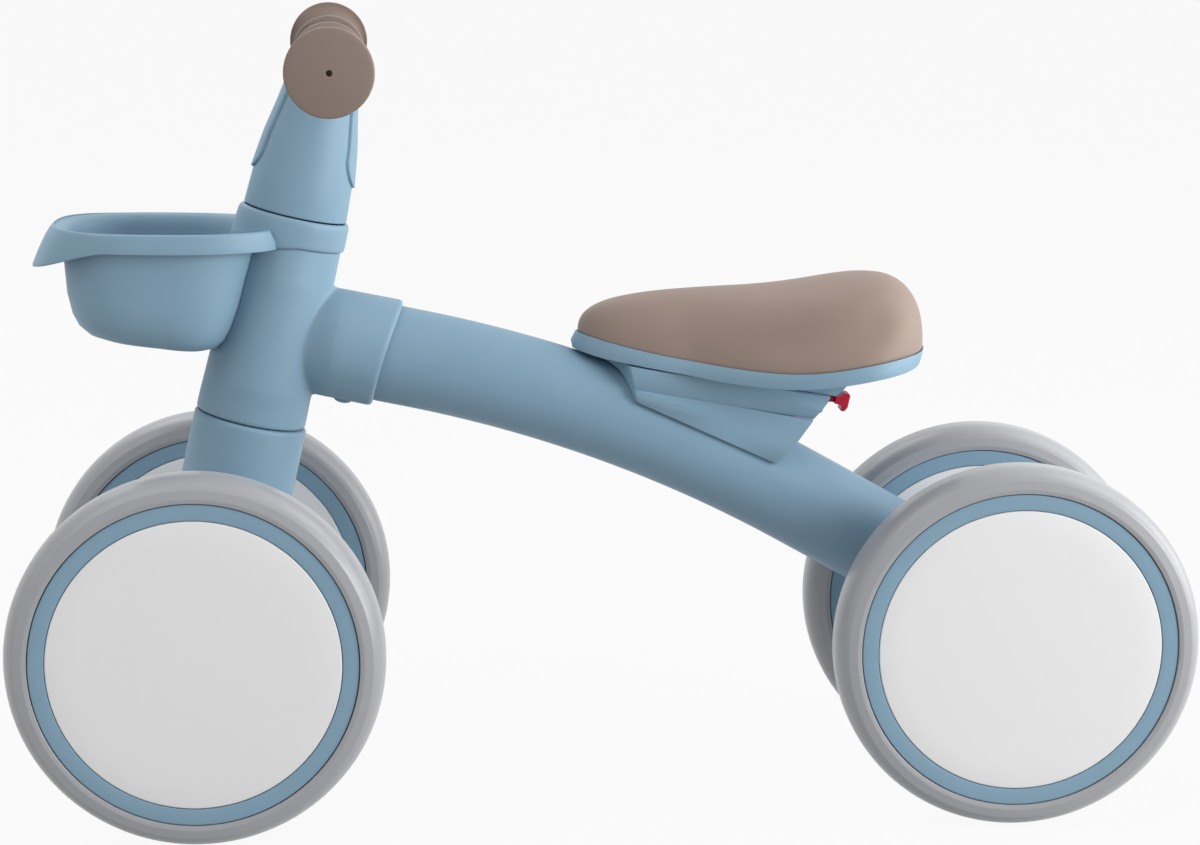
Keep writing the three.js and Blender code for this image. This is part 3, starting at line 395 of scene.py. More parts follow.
def aroundNode(tree, noise, middle, below, above=None):  # carries a noise from middle - below to middle + above
    low = mathNode(tree, "SUBTRACT", middle, below)
    high = mathNode(tree, "ADD", middle, below if above is None else above)
    return rangeNode(tree, noise, low, high)


def tintNode(tree, colour, factor):  # multiplies a colour by a grey factor
    node = tree.nodes.new("ShaderNodeVectorMath")
    node.operation = "SCALE"
    tree.links.new(colour, node.inputs[0])
    tree.links.new(factor, node.inputs["Scale"])
    return node.outputs["Vector"]


def mouldedSkin():  # a moulded or coated surface: fine grain, slow waviness, faint clouding
    group, given, wanted = newSkin("mouldedSkin", ["Grain Scale", "Clouding", "Roughness", "Roughness Spread"])
    vector = given["Vector"]
    clouds = aroundNode(group, noiseNode(group, vector, 55.0, 5.0, 0.6), 1.0, given["Clouding"])
    waves = noiseNode(group, vector, 28.0, 2.0)
    shine = aroundNode(group, waves, given["Roughness"], given["Roughness Spread"])
    feed(group, wanted["Color"], tintNode(group, given["Color"], clouds))
    feed(group, wanted["Roughness"], shine)
    feed(group, wanted["Height"], noiseNode(group, vector, given["Grain Scale"], 2.0))
    return group


def foamSkin():  # closed foam: small pores, soft mottling
    group, given, wanted = newSkin("foamSkin", ["Pore Scale", "Mottling", "Roughness"])
    vector = given["Vector"]
    mottle = noiseNode(group, vector, 90.0, 4.0, 0.6)
    tint = aroundNode(group, mottle, 1.0, given["Mottling"])
    feed(group, wanted["Color"], tintNode(group, given["Color"], tint))
    feed(group, wanted["Roughness"], aroundNode(group, mottle, given["Roughness"], 0.05))
    feed(group, wanted["Height"], cellNode(group, vector, given["Pore Scale"], "SMOOTH_F1"))
    return group


def hideGrain():  # leatherette: rounded pebbles with fine creases between, the colour darkened in those creases as painted shade, and faint handling shine
    group, given, wanted = newSkin("hideGrain", ["Pebble Scale", "Crease Shade", "Roughness"])
    vector = given["Vector"]
    pebbles = cellNode(group, vector, given["Pebble Scale"], "DISTANCE_TO_EDGE")
    height = rangeNode(group, pebbles, 0.0, 1.0, 0.0, 0.18)
    handling = noiseNode(group, vector, 35.0, 3.0)
    # painted shade: the colour is darkened towards the pebbles' edges, in the creases between them, by this share
    creaseShade = rangeNode(group, height, mathNode(group, "SUBTRACT", 1.0, given["Crease Shade"]), 1.0, 0.0, 1.0)
    tint = mathNode(group, "MULTIPLY", creaseShade, rangeNode(group, handling, 0.975, 1.025))
    feed(group, wanted["Color"], tintNode(group, given["Color"], tint))
    feed(group, wanted["Roughness"], aroundNode(group, handling, given["Roughness"], 0.05, 0.04))
    feed(group, wanted["Height"], height)
    return group



moulded, foam, hide = mouldedSkin(), foamSkin(), hideGrain()
satin = {"Specular IOR Level": 0.3}
finishTable = {  # skin, colour, the skin's own values in order, strength and depth of its relief, shader values
    "blue_plastic": (moulded, (131, 162, 182), (2600.0, 0.012, 0.48, 0.03), (0.12, 0.06), satin),
    "blue_paint": (moulded, (127, 158, 179), (1500.0, 0.015, 0.45, 0.04), (0.10, 0.08), satin),
    "white_plastic": (moulded, (233, 233, 233), (2400.0, 0.006, 0.5, 0.03), (0.08, 0.05), {}),
    "grey_foam": (foam, (160, 161, 165), (1100.0, 0.012, 0.33), (0.10, 0.05), {"Sheen Weight": 0.2}),
    "taupe_rubber": (moulded, (136, 120, 111), (1900.0, 0.02, 0.52, 0.04), (0.16, 0.06), satin),
    # the leather's second value is the share by which the colour in its creases is darkened: painted shade
    "taupe_leather": (hide, (154, 136, 126), (1700.0, 0.05, 0.5), (0.10, 0.05), {"Specular IOR Level": 0.2}),
    "red_plastic": (moulded, (190, 12, 54), (2000.0, 0.02, 0.32, 0.05), (0.06, 0.04), satin),
    "nylon": (moulded, (46, 48, 52), (2000.0, 0.05, 0.5, 0.06), (0.15, 0.05), {}),
    "steel": (moulded, (188, 190, 193), (3000.0, 0.04, 0.34, 0.08), (0.10, 0.03), {"Metallic": 1.0}),
}


def newFinish(slot):
    group, colour, values, (strength, depth), shading = finishTable[slot]
    first, *others = slot.split("_")
    material = bpy.data.materials.new(first + "".join(word.title() for word in others))
    material.use_nodes = True
    tree = material.node_tree
    shader = tree.nodes["Principled BSDF"]
    place = tree.nodes.new("ShaderNodeTexCoord")
    skin = tree.nodes.new("ShaderNodeGroup")
    skin.node_tree = group
    tree.links.new(place.outputs["Object"], skin.inputs["Vector"])
    for socket, value in zip(skin.inputs[1:], (srgb(*colour), *values)):
        socket.default_value = value
    relief = tree.nodes.new("ShaderNodeBump")
    relief.inputs["Strength"].default_value = strength
    relief.inputs["Distance"].default_value = depth * mm
    tree.links.new(skin.outputs["Height"], relief.inputs["Height"])
    tree.links.new(skin.outputs["Color"], shader.inputs["Base Color"])
    tree.links.new(skin.outputs["Roughness"], shader.inputs["Roughness"])
    tree.links.new(relief.outputs["Normal"], shader.inputs["Normal"])
    for label, value in shading.items():
        shader.inputs[label].default_value = value
    return material


finishes = {slot: newFinish(slot) for slot in finishTable}
for subpart in record["subparts"]:  # the CAD nodes take the same finishes as the pieces built here
    for materialSlot in frame["nodes"][subpart["node"]].material_slots:
        materialSlot.material = finishes[subpart["material_slot"]]
print("finishes made")


# Wheels: each is four rings turned about the axle.

tyre = {
    "radius": 90, "half": 15.5, "treadHalf": 2.5, "shoulder": 9.2, "bore": 78, "groove": (4.3, 80.3),
    "beadIn": 0.35, "beadEdge": 0.4, "wallFrom": 2.2,
    "kink": 22,  # degrees by which the side turns in at its soft crease
}
rim = {
    "half": 14.4, "outer": 77.55, "rib": (4, 80), "recess": 69.85, "ledge": 12.1, "ledgeIn": 66.3,
    "web": 2, "webEdge": 1.5, "hub": 13, "hubIn": -15.5, "hubOut": 6, "bore": 7.05, "edge": 0.4,
}
cover = {
    "radius": 69.5, "face": 14.45, "back": 12.4, "dome": 0.55, "domeAt": (20, 40, 58), "edge": 0.7,
    "hubHole": 13.3, "holeEdge": 0.5,
}


def inboard(profile):  # the same profile on the other side of the wheel's middle, run backwards
    return [(-point[0], *point[1:]) for point in reversed(profile)]


def tyreProfile():
    size = tyre
    shoulder = arc(
        (size["treadHalf"], size["radius"] - size["shoulder"]),
        (size["half"] - size["treadHalf"], size["shoulder"]), size["kink"], 90, 14,
    )
    half = [
        size["groove"],
        (size["groove"][0], size["bore"]),
        (size["half"] - size["beadIn"], size["bore"], size["beadEdge"]),
        (size["half"], size["bore"] + size["wallFrom"]),
        *shoulder,
    ]
    return half + inboard(half)


def rimProfile():
    size, edge = rim, rim["edge"]
    half = [
        size["rib"],
        (size["rib"][0], size["outer"]),
        (size["half"], size["outer"], edge),
        (size["half"], size["recess"], edge),
        (size["ledge"], size["recess"]),
        (size["ledge"], size["ledgeIn"]),
        (size["web"], size["ledgeIn"], size["webEdge"]),
        (size["web"], size["hub"]),
    ]
    hub = [
        (size["hubOut"], size["hub"], edge), (size["hubOut"], size["bore"]),
        (size["hubIn"], size["bore"]), (size["hubIn"], size["hub"], edge),
    ]
    return half + hub + inboard(half)


def coverProfile(hole):  # domed; with a hole for the hub where a radius is given
    size = cover
    middle = (size["face"] + size["dome"], hole, size["holeEdge"]) if hole else (size["face"] + size["dome"], 0)
    face = [(size["face"] + size["dome"] * (1 - (r / size["radius"]) ** 2), r) for r in size["domeAt"]]
    rimEdge = [(size["face"], size["radius"], size["edge"]), (size["back"], size["radius"])]
    return [middle, *face, *rimEdge, (size["back"], hole)]


def addWheel(label):
    centre = Vector(joints[label + "_wheel_spin"]["pos_m"]) / mm
    place = Matrix.Translation(centre) @ acrossX(1 if centre.x > 0 else -1)
    inner = [(-point[0], *point[1:]) for point in coverProfile(cover["hubHole"])]
    for name, node, slot, profile, steps, closed, crease in (
        ("_foam_tyre", "_tyre", "grey_foam", tyreProfile(), 160, True, 12),
        ("_wheel_rim", "_rim", "blue_plastic", rimProfile(), 144, True, 35),
        ("_outer_disc", "_outer_cover", "white_plastic", coverProfile(0), 144, False, 35),
        ("_inner_disc", "_inner_cover", "white_plastic", inner, 144, True, 35),
    ):
        ring = turned(profile, steps, closed, place)
        finished(ring, label + name, label + "_wheel", slot, label + node, crease)


for end in ("front", "rear"):
    for side in ("left", "right"):
        addWheel(f"{end}_{side}")
print("wheels built")


# Fork, with the barrel across its foot for the front axle.

fork = {
    "height": 103.6, "radius": 28, "foot": 24, "taper": 74, "edge": 1.3,
    "barrel": 15, "barrelHalf": 67.9, "barrelEdge": 1.2, "axleHole": 4.3,
    "socket": 12.3, "socketFloor": 40, "voxel": 0.9,
    "fillet": (16, 4), "filletTop": 45, "filletRounds": 50,  # how far off both skins the corner is softened
}


def addFork():
    size = fork
    dome = arc((0, 0), (-size["foot"], size["foot"]), 0, 90, 12)
    taper = [
        (share * size["taper"], size["foot"] + (size["radius"] - size["foot"]) * math.sin(share * math.pi / 2))
        for share in (0.15, 0.3, 0.45, 0.6, 0.8, 1)
    ]
    column = turned([*dome, *taper, (size["height"], size["radius"], size["edge"]), (size["height"], 0)])
    barrel = rod(size["barrel"], -size["barrelHalf"], size["barrelHalf"], acrossX(), edge=size["barrelEdge"])
    made = fused(workpiece(column, barrel), size["voxel"])

    def nearCorner(point):
        offBarrel = abs(math.hypot(point.y, point.z) - size["barrel"])
        offColumn = abs(math.hypot(point.x, point.y) - size["foot"])
        return ease(*size["fillet"], offBarrel + 0.6 * offColumn) if point.z < size["filletTop"] else 0

    made = blended(made, nearCorner, size["filletRounds"])
    made.data.transform(headFrame)
    carved(
        made,
        rod(size["socket"], size["socketFloor"], size["height"] + 5, headFrame),
        rod(size["axleHole"], -90, 90, Matrix.Translation(headFrame.translation) @ acrossX(), steps=32),
    )
    finished(made, "fork_moulding", "steering", "blue_plastic", "fork")


addFork()
print("fork built")


# Head tube, with the sleeve for the frame tube.

headTube = {
    "bottom": 104.1, "top": 206.4, "low": 27, "high": 25.7, "edge": 1.0, "bore": 20,
    "collarFrom": 194, "collarSeat": 24.6, "flange": 22.5, "flangeDepth": 2.5,
    "sleeve": 27.2, "sleeveDraft": 0.4, "sleeveLength": 59, "sleeveEdge": 1.6,
    "slant": 0.107, "scoop": 1.8, "mouth": 24.75, "depth": 28, "waist": 0.79, "waistFrom": 17, "waistTo": 35,
    "cheek": 0.085, "cheekLow": (106, 126), "cheekHigh": (194, 176), "toe": 0.024, "toeHeights": (136, 108),
    "buttonHole": 5.0, "voxel": 0.8,
    "fillet": (4.5, 1), "filletFrom": 8, "filletTo": 40, "filletShare": 0.8, "filletRounds": 16,
    "dip": {"drop": 2.4, "reach": 6, "from": 8, "to": -8},  # the collar's lower edge falls towards the basket
}


def headRadius(height):
    size = headTube
    return lerp(size["low"], size["high"], (height - size["bottom"]) / (size["top"] - size["bottom"]))


def dipped(bm, height):  # lowers what lies near this height where the collar's lower edge falls
    dip = headTube["dip"]
    for vert in bm.verts:
        near = max(0, 1 - abs(vert.co.z - height) / dip["reach"])
        vert.co.z -= near * dip["drop"] * ease(-dip["from"], -dip["to"], -vert.co.y)


def postShape(low, high, seatAt, grow, edge=0.0):  # the head tube's outside, with the seat for the collar
    size = headTube
    seat = size["collarSeat"] + grow
    foot = (low, size["low"] + grow, edge) if edge else (low, size["low"] + grow)
    levels = [lerp(low, seatAt, share) for share in (0.1, 0.2, 0.35, 0.5, 0.65, 0.8, 0.9, 1)]
    sides = [(level, headRadius(level) + grow) for level in levels]
    bm = turned([(low, 0), foot, *sides, (seatAt, seat), (high, seat), (high, 0)])
    cheekLow, cheekHigh, toeHigh = size["cheekLow"], size["cheekHigh"], size["toeHeights"]
    for vert in bm.verts:  # the cheeks are a little fuller where the sleeve comes in
        height = vert.co.z
        vert.co.x *= 1 + size["cheek"] * ease(*cheekLow, height) * ease(-cheekHigh[0], -cheekHigh[1], -height)
        if vert.co.y < 0:
            vert.co.y *= 1 + size["toe"] * ease(-toeHigh[0], -toeHigh[1], -height)
    dipped(bm, seatAt)
    bm.transform(headFrame)
    return bm


def addHeadTube():
    size = headTube
    low, high, length, draft = size["bottom"], size["top"], size["sleeveLength"], size["sleeveDraft"]
    post = postShape(low, high, size["collarFrom"], 0, size["edge"])
    runs = [(lerp(0, length - 3, i / 14), size["sleeve"] - draft + draft * i / 14) for i in range(15)]
    arm = turned([(0, 0), *runs, (length, size["sleeve"], size["sleeveEdge"]), (length, 0)])

    def sleeveWidth(z):  # the sleeve is waisted at its root
        return lerp(size["waist"], 1, ease(size["waistFrom"], size["waistTo"], z))

    for vert in arm.verts:  # its mouth slants and is scooped at the sides
        x, y, z = vert.co
        mouth = ease(length - 14, length - 2, z)
        scoop = size["scoop"] * (x / size["sleeve"]) ** 2
        vert.co = (x * sleeveWidth(z), y, z + mouth * (size["slant"] * y - scoop))
    arm.transform(sleeveFrame)
    made = fused(workpiece(post, arm), size["voxel"])
    intoSleeve = sleeveFrame.inverted()

    def nearJunction(point):
        post, arm = intoHead @ point, intoSleeve @ point
        if arm.z < size["filletFrom"] or arm.z > size["filletTo"]:
            return 0
        offPost = abs(math.hypot(post.x / (1 + size["cheek"]), post.y) - headRadius(post.z))
        offSleeve = abs(math.hypot(arm.x / sleeveWidth(arm.z), arm.y) - size["sleeve"])
        return ease(*size["fillet"], offPost + offSleeve) * size["filletShare"]

    made = blended(made, nearJunction, size["filletRounds"])
    snapPlace = Matrix.Translation(middleOf("snap_button")) @ aboutX(-tubeLine["droop"])
    carved(
        made,
        rod(size["bore"], low - 5, high + 5, headFrame),
        rod(size["flange"], low - 5, low + size["flangeDepth"], headFrame),
        rod(size["flange"], high - size["flangeDepth"], high + 5, headFrame),
        rod(size["mouth"], length - size["depth"], length + 5, sleeveFrame),
        rod(size["buttonHole"], -12, 12, snapPlace, steps=40),
    )
    finished(made, "head_tube_moulding", "frame", "blue_plastic", "head_tube")


addHeadTube()
print("head tube built")


# Frame tube: a ring drawn along the tube's line, with its wall inside.

def addFrameTube():
    size = tubeLine
    bm = bmesh.new()
    start = onward(sleeveFrame, size["start"])
    bmesh.ops.create_circle(bm, segments=80, radius=size["radius"], matrix=start)

    def drawn(edges, move):
        made = bmesh.ops.extrude_edge_only(bm, edges=edges)["geom"]
        bmesh.ops.translate(bm, vec=move, verts=vertsOf(made))
        return made

    made = drawn(bm.edges[:], sleeveFrame.to_3x3() @ Vector((0, 0, size["straight"] - size["start"])))
    ring = [item for item in made if not isinstance(item, bmesh.types.BMFace)]
    made = bmesh.ops.spin(
        bm, geom=ring, cent=bendCentre, axis=(-1, 0, 0), angle=bendAngle, steps=64,
    )["geom_last"]
    rim = [item for item in made if isinstance(item, bmesh.types.BMEdge)]
    drawn(rim, carrierFrame @ Vector((0, 0, -size["end"])) - onBend(bendAngle))
    cleaned(bm)
    if sum(face.normal.dot(face.calc_center_median() - bendStart) for face in bm.faces[:40]) < 0:
        bmesh.ops.reverse_faces(bm, faces=bm.faces)
    pipe = workpiece(bm)
    wall = pipe.modifiers.new("wall", "SOLIDIFY")
    wall.thickness = size["wall"]
    wall.offset = -1
    finished(applied(pipe), "frame_pipe", "frame", "blue_paint", "frame_tube")


addFrameTube()
print("frame tube built")


# Rear axle carrier: a plug in the frame tube's end, with the barrel for the rear axle.

carrier = {
    "neck": 28, "neckEdge": 0.6, "plug": 22, "plugEdge": 1, "plugLength": 30,
    "barrel": 15, "barrelHalf": 40.9, "barrelEdge": 1.2, "axleHole": 4.3, "voxel": 0.9,
    "fillet": (14, 3), "filletFrom": -22, "filletRounds": 50,
}


def addCarrier():
    size = carrier
    radius, above = tubeLine["radius"], tubeLine["aboveAxle"]
    plugEnd = -size["neck"] - size["plugLength"]
    neck = turned(
        [
            (plugEnd, 0),
            (plugEnd, size["plug"], size["plugEdge"]),
            (-size["neck"], size["plug"]),
            (-size["neck"], radius, size["neckEdge"]),
            (0, radius),
            *arc((0, 0), (radius, radius), 90, 0, 14)[1:],
        ]
    )
    across = Matrix.Translation((0, -above, 0)) @ acrossX()
    barrel = rod(size["barrel"], -size["barrelHalf"], size["barrelHalf"], across, edge=size["barrelEdge"])
    made = fused(workpiece(neck, barrel), size["voxel"])

    def nearCorner(point):
        offBarrel = abs(math.hypot(point.y + above, point.z) - size["barrel"])
        offNeck = abs(math.hypot(point.x, point.y) - radius)
        return ease(*size["fillet"], offBarrel + 0.6 * offNeck) if point.z > size["filletFrom"] else 0

    made = blended(made, nearCorner, size["filletRounds"])
    made.data.transform(carrierFrame)
    carved(made, rod(size["axleHole"], -60, 60, Matrix.Translation(rearAxle) @ acrossX(), steps=32))
    finished(made, "axle_carrier_moulding", "frame", "blue_plastic", "rear_axle_carrier")


addCarrier()
print("rear carrier built")


# Snap button, which holds the frame tube in the sleeve from below.

snapButton = {
    "radius": 4.7, "tip": 28.9, "tipRound": 2.2, "inside": 20.8,
    "flange": 7, "flangeThick": 1.5, "flangeEdge": 0.4,
}


def addSnapButton():
    size = snapButton
    middle = sleeveFrame.inverted() @ middleOf("snap_button")
    place = onward(sleeveFrame, middle.z) @ aboutX(quarterTurn)
    profile = [
        (size["inside"] - size["flangeThick"], 0),
        (size["inside"] - size["flangeThick"], size["flange"], size["flangeEdge"]),
        (size["inside"], size["flange"], size["flangeEdge"]),
        (size["inside"], size["radius"]),
        *arc((size["tip"] - size["tipRound"], 0), (size["tipRound"], size["radius"]), 90, 0, 8),
    ]
    finished(turned(profile, 48, place=place), "tube_lock_button", "button", "blue_plastic", "snap_button")


addSnapButton()
print("snap button built")


# Stem, and the handlebar clamp with its two tongues down the stem.

stem = {
    "bottom": 208.6, "foot": 25.5, "waist": 24.6, "waistAt": 225.8,
    "outline": [(237, 23.1), (246, 21.8), (254.5, 20.05), (262, 18.55), (271.1, 17)],
    "bar": 286.8, "neckTop": 15.6, "edge": 0.8, "bore": 12.3, "boreTop": 262.9, "barRoom": 0.35,
    "boltAt": 241.8, "boltSeat": 15.2, "boltHead": 5.8, "boltHole": 2.8,
}
clamp = {
    "radius": 14.9, "half": 29.6, "edge": 0.9, "bore": 11.3, "voxel": 0.5, "relax": 3,
    "straps": [(-1, 10.3, 8.8), (1, 13, 5.5)],  # front and rear: half the width at the tip and at the bar
    "strap": 1.4, "tipAt": 226.2, "stemRoom": 0.12, "barRoom": 0.3,
    "screwHole": 2.3, "screwHead": 4.8, "headDepth": 3.3,
}


def onBar(side=1):  # Z along the handlebar, to the left or the right
    return onward(stemFrame, stem["bar"]) @ acrossX(side)


def stemProfile(grow, top):
    size = stem
    return [
        (size["bottom"], 0),
        (size["bottom"], size["foot"] + grow, size["edge"]),
        (size["waistAt"], size["waist"] + grow),
        *[(height, radius + grow) for height, radius in size["outline"]],
        (top, size["neckTop"] + grow),
        (top, 0),
    ]


def addStem():
    size = stem
    body = workpiece(turned(stemProfile(0, size["bar"] - clamp["radius"] / 2), place=stemFrame))
    bolt = onward(stemFrame, size["boltAt"])
    rearward, forward = bolt @ aboutX(-quarterTurn), bolt @ aboutX(quarterTurn)
    carved(
        body,
        rod(clamp["radius"] + size["barRoom"], -60, 60, onBar()),
        rod(size["bore"], size["bottom"] - 5, size["boreTop"], stemFrame),
        rod(size["boltHead"], size["boltSeat"], 40, rearward, steps=32),
        rod(size["boltHead"], size["boltSeat"], 40, forward, steps=32),
        rod(size["boltHole"], -40, 40, rearward, steps=32),
    )
    finished(body, "stem_moulding", "steering", "blue_plastic", "stem")


def addClamp():
    size, bar = clamp, stem["bar"]
    tongues = []
    for side, half, topHalf in size["straps"]:
        tip = arc((0, size["tipAt"] + half), (half, half), 180, 360, 16)
        bm = wire([(-topHalf, bar + 2), *tip, (topHalf, bar + 2)], closed=True)
        bmesh.ops.translate(bm, vec=(0, side * 2, 0), verts=bm.verts)
        bmesh.ops.contextual_create(bm, geom=bm.edges[:])
        thickened(bm, (0, side * 40, 0)).transform(stemFrame)
        tongues.append(bm)
    made = workpiece(turned(stemProfile(size["strap"], bar), place=stemFrame))
    carved(made, lifted(workpiece(*tongues)), operation="INTERSECT")
    barrel = rod(size["radius"], -size["half"], size["half"], onBar(), edge=size["edge"], steps=96)
    barrel.transform(stemFrame.inverted())  # the skin is melted square to the stem
    made.data.transform(stemFrame.inverted())
    carved(made, barrel, operation="UNION")
    made = fused(made, size["voxel"], size["relax"])
    made.data.transform(stemFrame)
    hollow = workpiece(turned(stemProfile(size["stemRoom"], bar), place=stemFrame))
    carved(hollow, rod(size["radius"] + size["barRoom"], -60, 60, onBar()))
    carved(
        made,
        lifted(hollow),
        rod(size["bore"], -40, 40, onBar()),
        rod(size["screwHole"], bar - 30, bar + 20, stemFrame, steps=32),
        rod(size["screwHead"], bar + size["radius"] - size["headDepth"], bar + 25, stemFrame, steps=40),
    )
    finished(made, "clamp_moulding", "steering", "blue_plastic", "handlebar_clamp")


addStem()
addClamp()
print("stem and clamp built")


# Grips: a disc hollow behind, a barrelled hand and an inner flange.

grip = {
    "start": 29.9, "end": 131.5, "disc": 20.35, "back": 126.6, "sweep": 6.6, "discEdge": 0.9, "backEdge": 0.6,
    "dome": 1.6, "domeAt": (3.2, 7, 11, 15, 18), "hole": 1.45, "holeDepth": 4.2, "holeEdge": 0.35,
    "neck": 13.0, "belly": 14.7, "flange": 17.9, "flangeWidth": 3.5, "flangeEdge": 0.8,
    "bore": 11.35, "boreEnd": 122.4,
}


def addGrip(name, side):
    size = grip
    start, end, disc, neck = size["start"], size["end"], size["disc"], size["neck"]
    backRim, sweep = disc - size["discEdge"], size["sweep"]
    handFrom, handTo = size["back"] - sweep, start + 8
    profile = [
        (end - size["holeDepth"], 0),
        (end - size["holeDepth"], size["hole"]),
        (end, size["hole"], size["holeEdge"]),
        *[(end - size["dome"] * (r / disc) ** 2, r) for r in size["domeAt"]],
        (end - size["dome"] - 0.1, disc, size["discEdge"]),
        (size["back"] - 0.2, disc, size["backEdge"]),
        *arc((size["back"] - sweep, backRim), (sweep, backRim - neck), 0, -90, 12),
        *[
            (lerp(handTo, handFrom, 1 - share), neck + (size["belly"] - neck) * math.sin(share * math.pi))
            for share in (0.08, 0.16, 0.25, 0.35, 0.45, 0.55, 0.65, 0.75, 0.84, 0.92)
        ],
        (start + 2 * size["flangeWidth"], neck),
        (start + size["flangeWidth"], size["flange"], size["flangeEdge"]),
        (start, size["flange"], size["flangeEdge"]),
        (start, size["bore"]),
        (size["boreEnd"], size["bore"]),
        (size["boreEnd"], 0),
    ]
    finished(turned(profile, 112, place=onBar(side)), name + "_rubber", "steering", "taupe_rubber", name, 40)


addGrip("left_grip", 1)
addGrip("right_grip", -1)
print("grips built")


# Basket: a tub with a sloping floor, a drooping rim and a collar round the head tube.

basket = {
    "reach": 63.4, "belowHead": 4.7, "halfLength": 48, "halfWidth": 47, "depth": 58.5, "slope": 0.1,
    "power": 2.8, "wall": 2.6, "rake": 0.2, "crest": 0.7, "frontCrest": 0.9, "rearReach": 9, "rearGrowth": 2.2,
    "outline": [
        (0, 0), (0, 0.4), (0.012, 0.6), (0.05, 0.75), (0.12, 0.845), (0.22, 0.905), (0.4, 0.952), (0.7, 0.98),
    ],
    "flare": [(0.88, 0), (0.925, 0.5), (0.955, 1.5), (0.978, 3.0), (0.992, 4.6), (1.0, 6.0), (1.4, 6.4)],
    "band": {
        "width": 5.5, "crown": 4.9, "crownEdge": 1.4, "height": 9.6, "thickness": 2.6, "skirt": 2.0, "inward": 9,
    },
    "lip": {"drop": 10, "flare": 9, "from": 0.4},
    "ear": {"back": -7.3, "up": 197.2, "slant": 37},
    "collar": {"low": 194.1, "top": 208.0, "radius": 27.35, "fuller": 0.055, "draft": 0.5, "edge": 1.5},
    "postRoom": 0.25, "postTopRoom": 0.2, "backFoot": 125.0, "backRoom": 0.3, "bore": 24.85, "screwHole": 2.1,
}
headTopPlace = headFrame @ Vector((0, 0, headTube["top"]))
rimHeight = headTopPlace.z - basket["belowHead"] + basket["crest"]
basketMiddle = headTopPlace.y - basket["belowHead"] * math.tan(headLean) - basket["reach"]


def squareness(across, back):  # reach of the rounded square plan in a direction
    power = basket["power"]
    return (abs(across) ** power + abs(back) ** power) ** (-1 / power)


def directionOf(x, y):
    reach = math.hypot(x, y)
    return (x / reach, y / reach) if reach > 1e-5 else (1.0, 0.0)


def basketShell(profile, inset):  # radius 1 is the wall at the rim; height 0 is the floor and 1 the rim
    bm = turned(profile, 160)
    size = basket
    for vert in bm.verts:
        x, y, z = vert.co
        across, back = directionOf(x, y)
        plan = math.hypot(x, y) * squareness(across, back)
        growth = size["rearGrowth"]
        if inset:  # the inner wall flares out behind to meet the ears
            growth += (size["rearReach"] - 2 - growth) * ease(0.86, 1, z)
        length = size["halfLength"] - inset + growth * max(0, back) ** 2
        flat = basketMiddle + back * plan * length
        floor = rimHeight - size["depth"] - size["slope"] * (flat - basketMiddle) + inset
        height = floor + z * (rimHeight - floor)
        rake = size["rake"] * (rimHeight - height) * back * min(1, plan) if back > 0 else 0
        vert.co = (across * plan * (size["halfWidth"] - inset), flat - rake, height)
    return cleaned(bm)


def rimRing():  # the rim's crown with its skirt, which dips to a lip in front and reaches back as two ears
    band, lip = basket["band"], basket["lip"]
    width, height, thick = band["width"], band["height"], band["thickness"]
    base = 40.0  # the ring is turned at this radius and then laid round the plan
    crown, skirt = base + band["crown"], base + width - band["skirt"]
    section = [
        (0, crown, band["crownEdge"]), (0, base - band["inward"]), (thick, base - band["inward"]),
        (thick, skirt - 0.4), (height, skirt), (height, base + width, 0.5),
        (lerp(0, height, 0.66), base + lerp(width, band["crown"], 0.15)),
        (lerp(0, height, 0.33), base + lerp(width, band["crown"], 0.5)),
    ]
    bm = turned(section, 160, closed=True)
    for vert in bm.verts:
        x, y, down = vert.co
        across, back = directionOf(x, y)
        out = math.hypot(x, y) - base
        plan = squareness(across, back)
        front = ease(lip["from"], 1, -back)
        fall = max(0, down - 1) / (height - 1)
        flare = lip["flare"] * front * fall ** 0.8 * ease(0, width - thick, out)
        length = basket["halfLength"] + basket["rearReach"] * max(0, back) ** 2
        vert.co = (
            across * (plan * basket["halfWidth"] + out),
            basketMiddle + back * (plan * length + out) - flare,
            rimHeight - down - lip["drop"] * front * fall + basket["frontCrest"] * front * (1 - fall),
        )
    return cleaned(bm)


def collarBand():
    collar = basket["collar"]
    low, top, radius, edge = (collar[key] for key in ("low", "top", "radius", "edge"))
    levels = [(lerp(low, top, share), radius) for share in (0.2, 0.4, 0.6, 0.8)]
    bm = turned([(low, 0), (low, radius, edge), *levels, (top, radius - collar["draft"], edge), (top, 0)], 128)
    for vert in bm.verts:  # fuller in front, most of all low down, where it runs into the basket
        x, y, z = vert.co
        grow = 1 + collar["fuller"] * ease(0, radius, -y) * (top - z) / (top - low)
        vert.co = (x, y * grow, z)
    dipped(bm, low)
    bm.transform(headFrame)
    return bm


